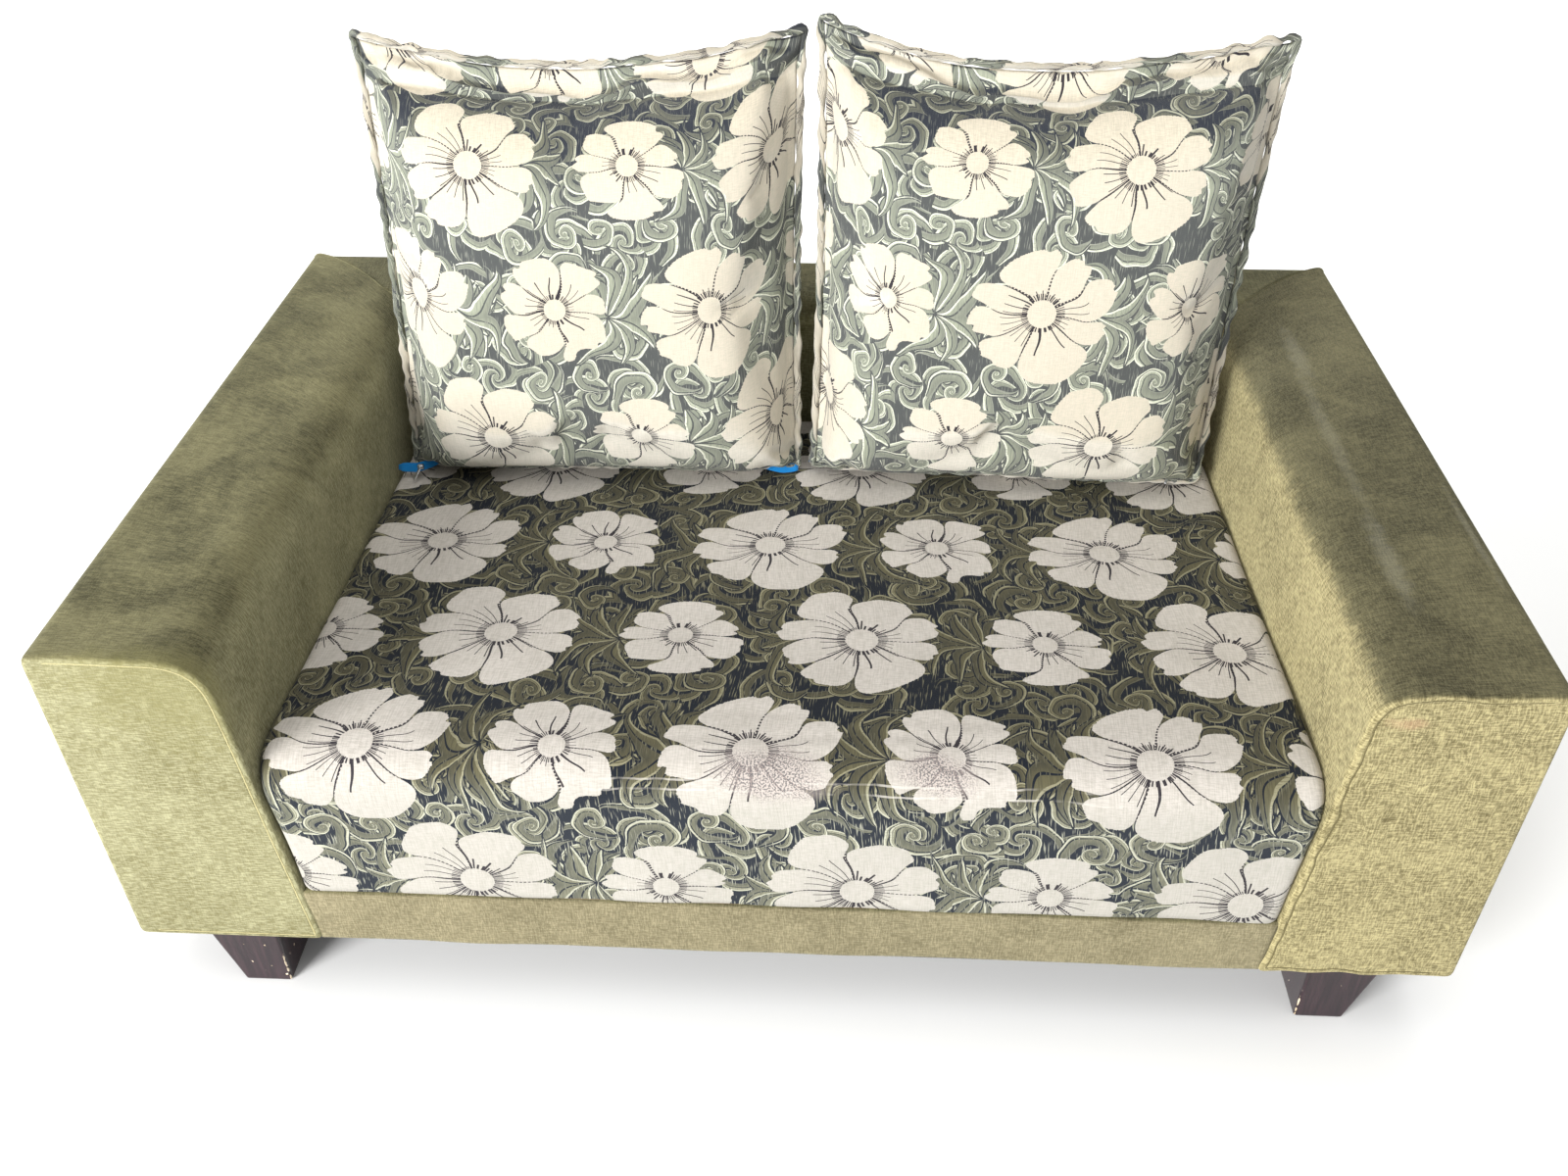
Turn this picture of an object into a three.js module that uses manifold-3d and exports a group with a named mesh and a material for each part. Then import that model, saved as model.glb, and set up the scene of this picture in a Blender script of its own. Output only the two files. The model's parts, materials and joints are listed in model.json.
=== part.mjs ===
// Torn two-seat sofa: a timber frame, boards, foam, stapled fabric covers, tapered block feet
// and two loose pillow cushions.
// Millimetres, +Z up. The origin is on the floor under the middle of the sofa, the front faces -Y
// and +X is the right arm as seen from the front.

import * as THREE from 'three';
import { mergeVertices } from 'three/addons/utils/BufferGeometryUtils.js';
import Module from 'manifold-3d';

// Driving dimensions of the whole sofa.
const WIDTH = 1500;
const DEPTH = 930;
const ARM_HEIGHT = 529;
const UNDERSIDE = 104;
const GAP = 0.4;
const SKIN = 3;

// An arm is a wall: thick at its foot, thinner where its rounded top starts.
const WALL_FOOT = 214;
const WALL_TOP = 185;
const WALL_SHOULDER = 475;
const WALL_ROUND = 54;
const OUTER_ROUND = 8;
const BACK_TOP = 150;

// The seat deck between the arms.
const SEAT_HALF_WIDTH = 535;
const SEAT_FRONT = -464;
const SEAT_REAR = 288;
const SEAT_TOP_FRONT = 392;
const SEAT_TOP_REAR = 364;
const SEAT_ROLL = 52;
const FRONT_RAIL_TOP = 187;
const RAIL_COVER_FRONT = -463;
const RAIL_COVER_TUCK = 45;
const SEAT_COVER_HEM = 20;

// Timber and board stock.
const RAIL_THICK = 25;
const FRONT_RAIL_FACE = -437;
const RAIL_SIDE_CLEAR = 7;
const RAIL_REAR_CLEAR = 6;
const RAIL_BOTTOM = 107.4;
const RAIL_TOP = 245;
const POST = 45;
const BOARD = 6;
const FRONT_BOARD = 12;
const STRAP_WIDTH = 50;
const STRAP_THICK = 2;
const STRAP_COUNT = 4;
const CORNER_BLOCK_LEG = 60;
const CORNER_BLOCK_HEIGHT = 90;
const CORNER_BLOCK_LIFT = 30;
const FACING_SIDE_CLEAR = 2;
const REAR_TIMBER_CLEAR = 25;
const BEARER_WIDTH = 90;
const BEARER_OVERHANG = 3;
const POST_INSET = 20;
const BOARD_END_CLEAR = 4;
const BACK_FOAM_THICK = 25;
const LOOSE = 2;

// Feet: blocks whose outer side slants in towards the floor.
const FOOT_INNER_X = 600;
const FOOT_TOP_WIDTH = 84;
const FOOT_BOTTOM_WIDTH = 56;
const FOOT_DEPTH = 84;
const FOOT_SETBACK = 18;
const BOLT_RADIUS = 4;
const BOLT_LENGTH = 85;
const BOLT_CLEAR = 0.6;
const BOLT_HOLE_EXTRA = 4;
const DUST_COVER_THICK = 1.2;
const DUST_COVER_MARGIN = 6;

// Pillow cushions, leaning back on the low back.
const CUSHION_HALF_WIDTH = 262;
const CUSHION_HALF_HEIGHT = 274;
const CUSHION_WAIST = 0.05;
const CUSHION_TOP_WIDER = 0.05;
const CUSHION_SPLAY = 20;
const CUSHION_TOP_DIP = 0.14;
const CUSHION_FOOT_DIP = 0.02;
const CUSHION_FRONT_BULGE = 80;
const CUSHION_REAR_BULGE = 112;
const CUSHION_REAR_TAPER = 0.12;
const CUSHION_RIM = 3;
const CUSHION_LEAN = THREE.MathUtils.degToRad(20);
const CUSHION_CENTRE_X = 274;
const CUSHION_FOOT_Y = 130;
const CUSHION_FOOT_Z = 381.5;
const CUSHION_SEAM = 12;
const CUSHION_CLOTH = 4;
const CUSHION_RIM_CLOTH = 1.6;
const FILL_SLACK = 15;
const FILL_THINNER = 6;
const FILL_RIM_THINNER = 2.2;
const PIPING_RADIUS = 3.5;
const PIPING_CLEAR = 3;
const PIPING_EDGE_STEPS = 10;
const PIPING_SET_FORWARD = 1.8;
const PIPING_SPLIT = 0.004;
const PILLOW_STEPS = 10;
const ZIP_TAPE_THICK = 1.6;
const ZIP_OUTER_END = 14;
const ZIP_INNER_END = 5;
const ZIP_TAPE_LOW = -4;
const ZIP_TAPE_HIGH = 8;
const ZIP_SLIT_CLEAR = 0.6;
const ZIP_SLIT_HALF_HEIGHT = 21;
const ZIP_SLIDER_FRONT = 4.2;
const ZIP_SLIDER_REAR = 0.4;
const ZIP_SLIDER_LOW = -2;
const ZIP_SLIDER_HIGH = 6.4;

const HALF_WIDTH = WIDTH / 2;
const HALF_DEPTH = DEPTH / 2;
const BACK_SCALE = BACK_TOP / WALL_TOP;
const LEAN_SLOPE = (WALL_FOOT - WALL_TOP) / (WALL_SHOULDER - UNDERSIDE);
const INSIDE = SKIN + GAP;
const FOAM_UNDERSIDE = WALL_SHOULDER - 8;
const BEYOND = 20;

const wasm = await Module();
wasm.setup();

const material = (color, roughness, metalness = 0) => (
  new THREE.MeshStandardMaterial({ color, roughness, metalness })
);
const MATERIALS = {
  chenille: material(0x7f7c4d, 0.95),
  jacquard: material(0x8b8c80, 0.8),
  timber: material(0xb88d5a, 0.8),
  board: material(0x8f6b43, 0.85),
  foam: material(0xe8dfae, 0.95),
  fill: material(0xf2f0ea, 1.0),
  webbing: material(0x2d2b28, 0.9),
  dust_cloth: material(0x1c1c1d, 1.0),
  foot: material(0x2a1718, 0.25),
  zip_tape: material(0x1482d7, 0.7),
  steel: material(0xb9bcc0, 0.35, 1.0),
};

function addPart(group, name, geometry, look, place = [0, 0, 0]) {
  const mesh = new THREE.Mesh(geometry, MATERIALS[look]);
  mesh.name = name;
  mesh.position.set(...place);
  group.add(mesh);
  return mesh;
}

// Booleans: a closed three.js geometry becomes a solid, and comes back as a geometry.
function toSolid(geometry) {
  const bare = geometry.clone();
  bare.deleteAttribute('normal');
  bare.deleteAttribute('uv');
  const merged = mergeVertices(bare, 1e-3);
  return new wasm.Manifold(new wasm.Mesh({
    numProp: 3,
    vertProperties: new Float32Array(merged.attributes.position.array),
    triVerts: new Uint32Array(merged.index.array),
  }));
}

function toGeometry(solid) {
  const mesh = solid.getMesh();
  const geometry = new THREE.BufferGeometry();
  geometry.setAttribute('position', new THREE.BufferAttribute(mesh.vertProperties, 3));
  geometry.setIndex(new THREE.BufferAttribute(mesh.triVerts, 1));
  return geometry;
}

function subtract(geometry, ...cutters) {
  let solid = toSolid(geometry);
  for (const cutter of cutters) {
    solid = solid.subtract(toSolid(cutter));
  }
  return toGeometry(solid);
}

// Boxes and prisms between plain limits.
function box([x0, x1], [y0, y1], [z0, z1]) {
  const geometry = new THREE.BoxGeometry(x1 - x0, y1 - y0, z1 - z0);
  return geometry.translate((x0 + x1) / 2, (y0 + y1) / 2, (z0 + z1) / 2);
}

function extrude(shape, length) {
  return new THREE.ExtrudeGeometry(shape, {
    depth: length,
    bevelEnabled: false,
    curveSegments: 8,
  });
}

// A section drawn in (x, z), run from y0 back to y1.
function prismAlongY(shape, y0, y1) {
  const turn = new THREE.Matrix4().makeBasis(
    new THREE.Vector3(1, 0, 0),
    new THREE.Vector3(0, 0, 1),
    new THREE.Vector3(0, -1, 0),
  );
  return extrude(shape, y1 - y0).applyMatrix4(turn).translate(0, y1, 0);
}

// A section drawn in (y, z), run from x0 to x1.
function prismAlongX(shape, x0, x1) {
  const turn = new THREE.Matrix4().makeBasis(
    new THREE.Vector3(0, 1, 0),
    new THREE.Vector3(0, 0, 1),
    new THREE.Vector3(1, 0, 0),
  );
  return extrude(shape, x1 - x0).applyMatrix4(turn).translate(x0, 0, 0);
}

function polygon(points) {
  return new THREE.Shape(points.map(([a, b]) => new THREE.Vector2(a, b)));
}

// The arms and the back share one wall section. Its thickness is measured inwards from the outer
// face, and the back's is the arm's times BACK_SCALE, so that the two meet along a flat mitre.
const wallThickness = (z, scale) => (WALL_FOOT - (z - UNDERSIDE) * LEAN_SLOPE) * scale;

function wallSection(place, scale, inset, low) {
  const top = ARM_HEIGHT - inset;
  const shoulder = WALL_SHOULDER - inset / 2;
  const inner = (z) => wallThickness(z, scale) - inset;
  const shape = new THREE.Shape();
  shape.moveTo(place(inset), low);
  shape.lineTo(place(inset), top - OUTER_ROUND);
  shape.quadraticCurveTo(place(inset), top, place(inset + OUTER_ROUND), top);
  shape.lineTo(place(inner(shoulder) - WALL_ROUND * scale), top);
  shape.quadraticCurveTo(place(inner(top)), top, place(inner(shoulder)), shoulder);
  shape.lineTo(place(inner(low)), low);
  shape.closePath();
  return shape;
}

// Everything behind the mitre plane (for an arm) or in front of it (for the back).
function mitreCutter(side, keep) {
  const outside = -2 * BEYOND;
  const inside = 21 * BEYOND;
  const lineY = (t) => HALF_DEPTH - t * BACK_SCALE;
  const shift = keep === 'arm' ? -GAP / 2 : GAP / 2;
  const far = keep === 'arm' ? HALF_DEPTH + 10 * BEYOND : -HALF_DEPTH;
  const shape = polygon([
    [side * (HALF_WIDTH - outside), lineY(outside) + shift],
    [side * (HALF_WIDTH - inside), lineY(inside) + shift],
    [side * (HALF_WIDTH - inside), far],
    [side * (HALF_WIDTH - outside), far],
  ]);
  return extrude(shape, 2 * ARM_HEIGHT).translate(0, 0, -ARM_HEIGHT / 2);
}

const sofa = new THREE.Group();

// Seat frame: four rails and a centre rail, glue blocks in the corners, webbing across the top.
function buildSeatFrame() {
  const group = new THREE.Group();
  const halfRail = SEAT_HALF_WIDTH - RAIL_SIDE_CLEAR;
  const frontRail = [FRONT_RAIL_FACE, FRONT_RAIL_FACE + RAIL_THICK];
  const rearFace = SEAT_REAR - RAIL_REAR_CLEAR;
  const rearRail = [rearFace - RAIL_THICK, rearFace];
  const height = [RAIL_BOTTOM, RAIL_TOP];
  const between = [frontRail[1] + GAP, rearRail[0] - GAP];
  addPart(group, 'seat_front_rail', box([-halfRail, halfRail], frontRail, height), 'timber');
  addPart(group, 'seat_rear_rail', box([-halfRail, halfRail], rearRail, height), 'timber');
  addPart(group, 'seat_left_rail', box([-halfRail, RAIL_THICK - halfRail], between, height), 'timber');
  addPart(group, 'seat_right_rail', box([halfRail - RAIL_THICK, halfRail], between, height), 'timber');
  const centre = [-RAIL_THICK / 2, RAIL_THICK / 2];
  addPart(group, 'seat_centre_rail', box(centre, between, height), 'timber');

  for (const [endName, y, inward] of [['front', between[0], 1], ['rear', between[1], -1]]) {
    for (const [sideName, side] of [['left', -1], ['right', 1]]) {
      const x = side * (halfRail - RAIL_THICK - GAP);
      const start = y + inward * GAP;
      const block = extrude(polygon([
        [x, start],
        [x - side * CORNER_BLOCK_LEG, start],
        [x, start + inward * CORNER_BLOCK_LEG],
      ]), CORNER_BLOCK_HEIGHT);
      const blockPlace = [0, 0, RAIL_BOTTOM + CORNER_BLOCK_LIFT];
      addPart(group, `corner_block_${endName}_${sideName}`, block, 'timber', blockPlace);
    }
  }

  const pitch = (2 * halfRail) / STRAP_COUNT;
  for (let i = 0; i < STRAP_COUNT; i += 1) {
    const x = -halfRail + pitch * (i + 0.5);
    const strap = box(
      [x - STRAP_WIDTH / 2, x + STRAP_WIDTH / 2],
      [frontRail[0], rearRail[1]],
      [RAIL_TOP + GAP, RAIL_TOP + GAP + STRAP_THICK],
    );
    addPart(group, `seat_strap_${i + 1}`, strap, 'webbing');
  }
  return group;
}

// The seat deck's outline in (y, z): flat front, big front roll, top sagging to the rear.
function seatSection(inset, tail) {
  const front = SEAT_FRONT + inset;
  const top = SEAT_TOP_FRONT - inset;
  const shape = new THREE.Shape();
  shape.moveTo(...tail[tail.length - 1]);
  shape.lineTo(front, tail[tail.length - 1][1]);
  shape.lineTo(front, top - SEAT_ROLL);
  shape.quadraticCurveTo(front, top, front + SEAT_ROLL, top);
  shape.lineTo(SEAT_REAR - inset, SEAT_TOP_REAR - inset);
  for (const point of tail) {
    shape.lineTo(...point);
  }
  return shape;
}

// Foam with a front lip that hangs over the rail, its fabric cover, and the covered front rail.
function buildSeat() {
  const group = new THREE.Group();
  const coverLow = FRONT_RAIL_TOP + GAP;
  const rear = SEAT_REAR;
  const outer = seatSection(0, [[rear, coverLow], [0, coverLow]]);
  const inner = seatSection(SKIN, [[rear - SKIN, coverLow - SEAT_COVER_HEM], [0, coverLow - SEAT_COVER_HEM]]);
  const cover = subtract(
    prismAlongX(outer, -SEAT_HALF_WIDTH, SEAT_HALF_WIDTH),
    prismAlongX(inner, SKIN - SEAT_HALF_WIDTH, SEAT_HALF_WIDTH - SKIN),
  );
  addPart(group, 'seat_cover', cover, 'jacquard');

  const foamLow = RAIL_TOP + STRAP_THICK + 2 * GAP;
  const lipRear = FRONT_RAIL_FACE - 1;
  const foam = seatSection(INSIDE, [
    [rear - INSIDE, foamLow],
    [lipRear, foamLow],
    [lipRear, coverLow + LOOSE],
  ]);
  const halfFoam = SEAT_HALF_WIDTH - INSIDE;
  addPart(group, 'seat_foam', prismAlongX(foam, -halfFoam, halfFoam), 'foam');

  const railCover = polygon([
    [RAIL_COVER_FRONT, UNDERSIDE],
    [RAIL_COVER_FRONT, FRONT_RAIL_TOP],
    [RAIL_COVER_FRONT + SKIN, FRONT_RAIL_TOP],
    [RAIL_COVER_FRONT + SKIN, UNDERSIDE + SKIN],
    [RAIL_COVER_FRONT + RAIL_COVER_TUCK, UNDERSIDE + SKIN],
    [RAIL_COVER_FRONT + RAIL_COVER_TUCK, UNDERSIDE],
  ]);
  const railWrap = prismAlongX(railCover, -SEAT_HALF_WIDTH, SEAT_HALF_WIDTH);
  addPart(group, 'front_rail_cover', railWrap, 'chenille');
  const facing = box(
    [FACING_SIDE_CLEAR - SEAT_HALF_WIDTH, SEAT_HALF_WIDTH - FACING_SIDE_CLEAR],
    [RAIL_COVER_FRONT + INSIDE, FRONT_RAIL_FACE - GAP],
    [RAIL_BOTTOM, FRONT_RAIL_TOP - GAP],
  );
  addPart(group, 'front_facing_board', facing, 'board');
  return group;
}

// One arm. side is 1 for the right arm and -1 for the left.
function buildArm(sideName, side) {
  const group = new THREE.Group();
  const place = (t) => side * (HALF_WIDTH - t);
  const across = (a, b) => [Math.min(side * a, side * b), Math.max(side * a, side * b)];
  const front = -HALF_DEPTH + INSIDE;
  const low = RAIL_BOTTOM - 1;
  const mitre = mitreCutter(side, 'arm');

  const skin = subtract(
    prismAlongY(wallSection(place, 1, 0, UNDERSIDE), -HALF_DEPTH, HALF_DEPTH + 3 * BEYOND),
    prismAlongY(wallSection(place, 1, SKIN, UNDERSIDE - BEYOND), -HALF_DEPTH + SKIN, HALF_DEPTH + 4 * BEYOND),
    mitre,
  );
  addPart(group, `${sideName}_arm_cover`, skin, 'chenille');

  const topFoam = subtract(
    prismAlongY(wallSection(place, 1, INSIDE, FOAM_UNDERSIDE), front, HALF_DEPTH + 3 * BEYOND),
    mitre,
  );
  addPart(group, `${sideName}_arm_top_foam`, topFoam, 'foam');

  const boardTop = FOAM_UNDERSIDE - GAP;
  const leaning = (depthFrom, depthTo) => polygon([
    [place(depthFrom(low)), low],
    [place(depthTo(low)), low],
    [place(depthTo(boardTop)), boardTop],
    [place(depthFrom(boardTop)), boardTop],
  ]);
  const outerBoard = leaning(() => INSIDE, () => INSIDE + BOARD);
  const outerEnd = HALF_DEPTH - (INSIDE + BOARD) * BACK_SCALE - LOOSE;
  addPart(group, `${sideName}_arm_outer_board`, prismAlongY(outerBoard, front, outerEnd), 'board');
  const innerFace = (z) => wallThickness(z, 1) - INSIDE;
  const innerBoard = leaning((z) => innerFace(z) - BOARD, innerFace);
  const innerEnd = HALF_DEPTH - WALL_FOOT * BACK_SCALE - BOARD_END_CLEAR;
  addPart(group, `${sideName}_arm_inner_board`, prismAlongY(innerBoard, front, innerEnd), 'board');
  const frontBoard = leaning(
    () => INSIDE + BOARD + GAP,
    (z) => innerFace(z) - BOARD - GAP,
  );
  const frontPlate = prismAlongY(frontBoard, front, front + FRONT_BOARD);
  addPart(group, `${sideName}_arm_front_board`, frontPlate, 'board');

  const bearerTop = RAIL_BOTTOM + POST;
  const bearerRun = [front + FRONT_BOARD + GAP, HALF_DEPTH - REAR_TIMBER_CLEAR];
  const bearerInner = FOOT_INNER_X - BEARER_OVERHANG;
  const bearer = subtract(
    box(across(bearerInner, bearerInner + BEARER_WIDTH), bearerRun, [RAIL_BOTTOM, bearerTop]),
    boltHole(side, -1),
    boltHole(side, 1),
  );
  addPart(group, `${sideName}_foot_bearer`, bearer, 'timber');
  const railBottom = boardTop - POST;
  const postX = across(FOOT_INNER_X + POST_INSET, FOOT_INNER_X + POST_INSET + POST);
  const postZ = [bearerTop + GAP, railBottom - GAP];
  const frontY = [bearerRun[0], bearerRun[0] + POST];
  const rearY = [bearerRun[1] - POST, bearerRun[1]];
  addPart(group, `${sideName}_front_post`, box(postX, frontY, postZ), 'timber');
  addPart(group, `${sideName}_rear_post`, box(postX, rearY, postZ), 'timber');
  const armRail = box(postX, bearerRun, [railBottom, boardTop - GAP]);
  addPart(group, `${sideName}_arm_top_rail`, armRail, 'timber');
  return group;
}

// The low back, mitred into both arms.
function buildBack() {
  const group = new THREE.Group();
  const place = (t) => HALF_DEPTH - t;
  const low = RAIL_BOTTOM - 1;
  const mitres = [mitreCutter(-1, 'back'), mitreCutter(1, 'back')];
  const skin = subtract(
    prismAlongX(wallSection(place, BACK_SCALE, 0, UNDERSIDE), -HALF_WIDTH, HALF_WIDTH),
    prismAlongX(wallSection(place, BACK_SCALE, SKIN, UNDERSIDE - BEYOND), -WIDTH, WIDTH),
    ...mitres,
  );
  addPart(group, 'back_cover', skin, 'chenille');

  const foamSection = wallSection(place, BACK_SCALE, INSIDE, FOAM_UNDERSIDE);
  const foamRun = HALF_WIDTH - INSIDE;
  const topFoam = subtract(prismAlongX(foamSection, -foamRun, foamRun), ...mitres);
  addPart(group, 'back_top_foam', topFoam, 'foam');

  const boardTop = FOAM_UNDERSIDE - GAP;
  const rearBoard = box(
    [POST_INSET - HALF_WIDTH, HALF_WIDTH - POST_INSET],
    [HALF_DEPTH - INSIDE - BOARD, HALF_DEPTH - INSIDE],
    [low, boardTop],
  );
  addPart(group, 'back_rear_board', rearBoard, 'board');

  const foamFace = (z) => HALF_DEPTH - wallThickness(z, BACK_SCALE) + INSIDE;
  const foam = polygon([
    [foamFace(low), low],
    [foamFace(low) + BACK_FOAM_THICK, low],
    [foamFace(boardTop) + BACK_FOAM_THICK, boardTop],
    [foamFace(boardTop), boardTop],
  ]);
  const foamHalf = HALF_WIDTH - WALL_FOOT - BOARD_END_CLEAR;
  addPart(group, 'back_foam', prismAlongX(foam, -foamHalf, foamHalf), 'foam');

  const railRear = HALF_DEPTH - REAR_TIMBER_CLEAR;
  const railY = [railRear - POST, railRear];
  const bottomHalf = FOOT_INNER_X - BEARER_OVERHANG - GAP;
  const topHalf = FOOT_INNER_X + POST_INSET - GAP;
  const bottomRail = box([-bottomHalf, bottomHalf], railY, [RAIL_BOTTOM, RAIL_BOTTOM + POST]);
  addPart(group, 'back_bottom_rail', bottomRail, 'timber');
  const topRail = box([-topHalf, topHalf], railY, [boardTop - POST, boardTop - GAP]);
  addPart(group, 'back_top_rail', topRail, 'timber');
  return group;
}

// Feet, their hanger bolts, and the black cloth stapled under the sofa.
const footBoltX = FOOT_INNER_X + FOOT_BOTTOM_WIDTH / 2;
const footBoltY = HALF_DEPTH - FOOT_SETBACK - FOOT_DEPTH / 2;
const dustTop = UNDERSIDE - GAP;
const dustBottom = dustTop - DUST_COVER_THICK;
const footTop = dustBottom - GAP;
const boltBottom = footTop - BOLT_LENGTH / 2;

function uprightCylinder(radius, length) {
  return new THREE.CylinderGeometry(radius, radius, length, 12).rotateX(Math.PI / 2);
}

function boltHole(side, end) {
  const centre = boltBottom + BOLT_LENGTH / 2;
  const hole = uprightCylinder(BOLT_RADIUS + BOLT_CLEAR, BOLT_LENGTH + BOLT_HOLE_EXTRA);
  return hole.translate(side * footBoltX, end * footBoltY, centre);
}

function buildFeet() {
  const group = new THREE.Group();
  for (const [endName, end] of [['front', -1], ['rear', 1]]) {
    for (const [sideName, side] of [['left', -1], ['right', 1]]) {
      const section = polygon([
        [side * FOOT_INNER_X, 0],
        [side * (FOOT_INNER_X + FOOT_BOTTOM_WIDTH), 0],
        [side * (FOOT_INNER_X + FOOT_TOP_WIDTH), footTop],
        [side * FOOT_INNER_X, footTop],
      ]);
      const y = end * footBoltY;
      const block = prismAlongY(section, y - FOOT_DEPTH / 2, y + FOOT_DEPTH / 2);
      addPart(group, `${endName}_${sideName}_foot`, subtract(block, boltHole(side, end)), 'foot');
      const bolt = uprightCylinder(BOLT_RADIUS, BOLT_LENGTH);
      const boltPlace = [side * footBoltX, y, boltBottom + BOLT_LENGTH / 2];
      addPart(group, `${endName}_${sideName}_foot_bolt`, bolt, 'steel', boltPlace);
    }
  }
  const sheet = box(
    [DUST_COVER_MARGIN - HALF_WIDTH, HALF_WIDTH - DUST_COVER_MARGIN],
    [DUST_COVER_MARGIN - HALF_DEPTH, HALF_DEPTH - DUST_COVER_MARGIN],
    [dustBottom, dustTop],
  );
  const holes = [[-1, -1], [1, -1], [-1, 1], [1, 1]].map(([side, end]) => boltHole(side, end));
  addPart(group, 'dust_cover', subtract(sheet, ...holes), 'dust_cloth');
  return group;
}

// A pillow's outline: sides and top pull in between the pointed corners, and the top is wider and
// splays towards the arm on that side. u and v run from -1 to 1.
function pillowOutline(side, u, v, halfWidth, halfHeight) {
  const dip = v > 0 ? CUSHION_TOP_DIP : CUSHION_FOOT_DIP;
  const rise = (v + 1) / 2;
  const x = halfWidth * u * (1 - CUSHION_WAIST * (1 - v * v)) * (1 + CUSHION_TOP_WIDER * rise);
  const z = halfHeight * v * (1 - dip * (1 - u * u));
  return [x + side * CUSHION_SPLAY * rise, z + CUSHION_HALF_HEIGHT];
}

// A crowned closed pillow made from a box: thin at its rim, full in the middle, fuller low down.
function pillow(side, halfWidth, halfHeight, front, rear, rim) {
  const geometry = new THREE.BoxGeometry(2, 2, 2, PILLOW_STEPS, 1, PILLOW_STEPS);
  const position = geometry.attributes.position;
  for (let i = 0; i < position.count; i += 1) {
    const u = position.getX(i);
    const s = position.getY(i);
    const v = position.getZ(i);
    const crown = Math.sqrt((1 - u ** 4) * (1 - v ** 4));
    const bulge = s < 0 ? front : rear * (1 - CUSHION_REAR_TAPER * v);
    const [x, z] = pillowOutline(side, u, v, halfWidth, halfHeight);
    position.setXYZ(i, x, s * (rim + bulge * crown), z);
  }
  return geometry;
}

// The rope edging: a round cord laid round the rim. Its two ends butt in the middle of the lower
// edge, with a small gap between them.
function rimPiping(side) {
  const halfWidth = CUSHION_HALF_WIDTH + PIPING_RADIUS + PIPING_CLEAR;
  const halfHeight = CUSHION_HALF_HEIGHT + PIPING_RADIUS + PIPING_CLEAR;
  const corners = [[PIPING_SPLIT, -1], [1, -1], [1, 1], [-1, 1], [-1, -1], [-PIPING_SPLIT, -1]];
  const points = [];
  corners.slice(1).forEach(([u1, v1], index) => {
    const [u0, v0] = corners[index];
    const half = Math.abs(u0 - u1) < 1.5 && v0 === v1;
    const pieces = half ? PIPING_EDGE_STEPS / 2 : PIPING_EDGE_STEPS;
    for (let i = index === 0 ? 0 : 1; i <= pieces; i += 1) {
      const along = i / pieces;
      const u = THREE.MathUtils.lerp(u0, u1, along);
      const v = THREE.MathUtils.lerp(v0, v1, along);
      const [x, z] = pillowOutline(side, u, v, halfWidth, halfHeight);
      points.push(new THREE.Vector3(x, -PIPING_RADIUS - PIPING_SET_FORWARD, z));
    }
  });
  return new THREE.ExtrudeGeometry(new THREE.Shape().absarc(0, 0, PIPING_RADIUS, 0, 2 * Math.PI), {
    steps: 2 * points.length,
    extrudePath: new THREE.CatmullRomCurve3(points, false, 'centripetal'),
    curveSegments: 3,
    bevelEnabled: false,
  });
}

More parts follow.
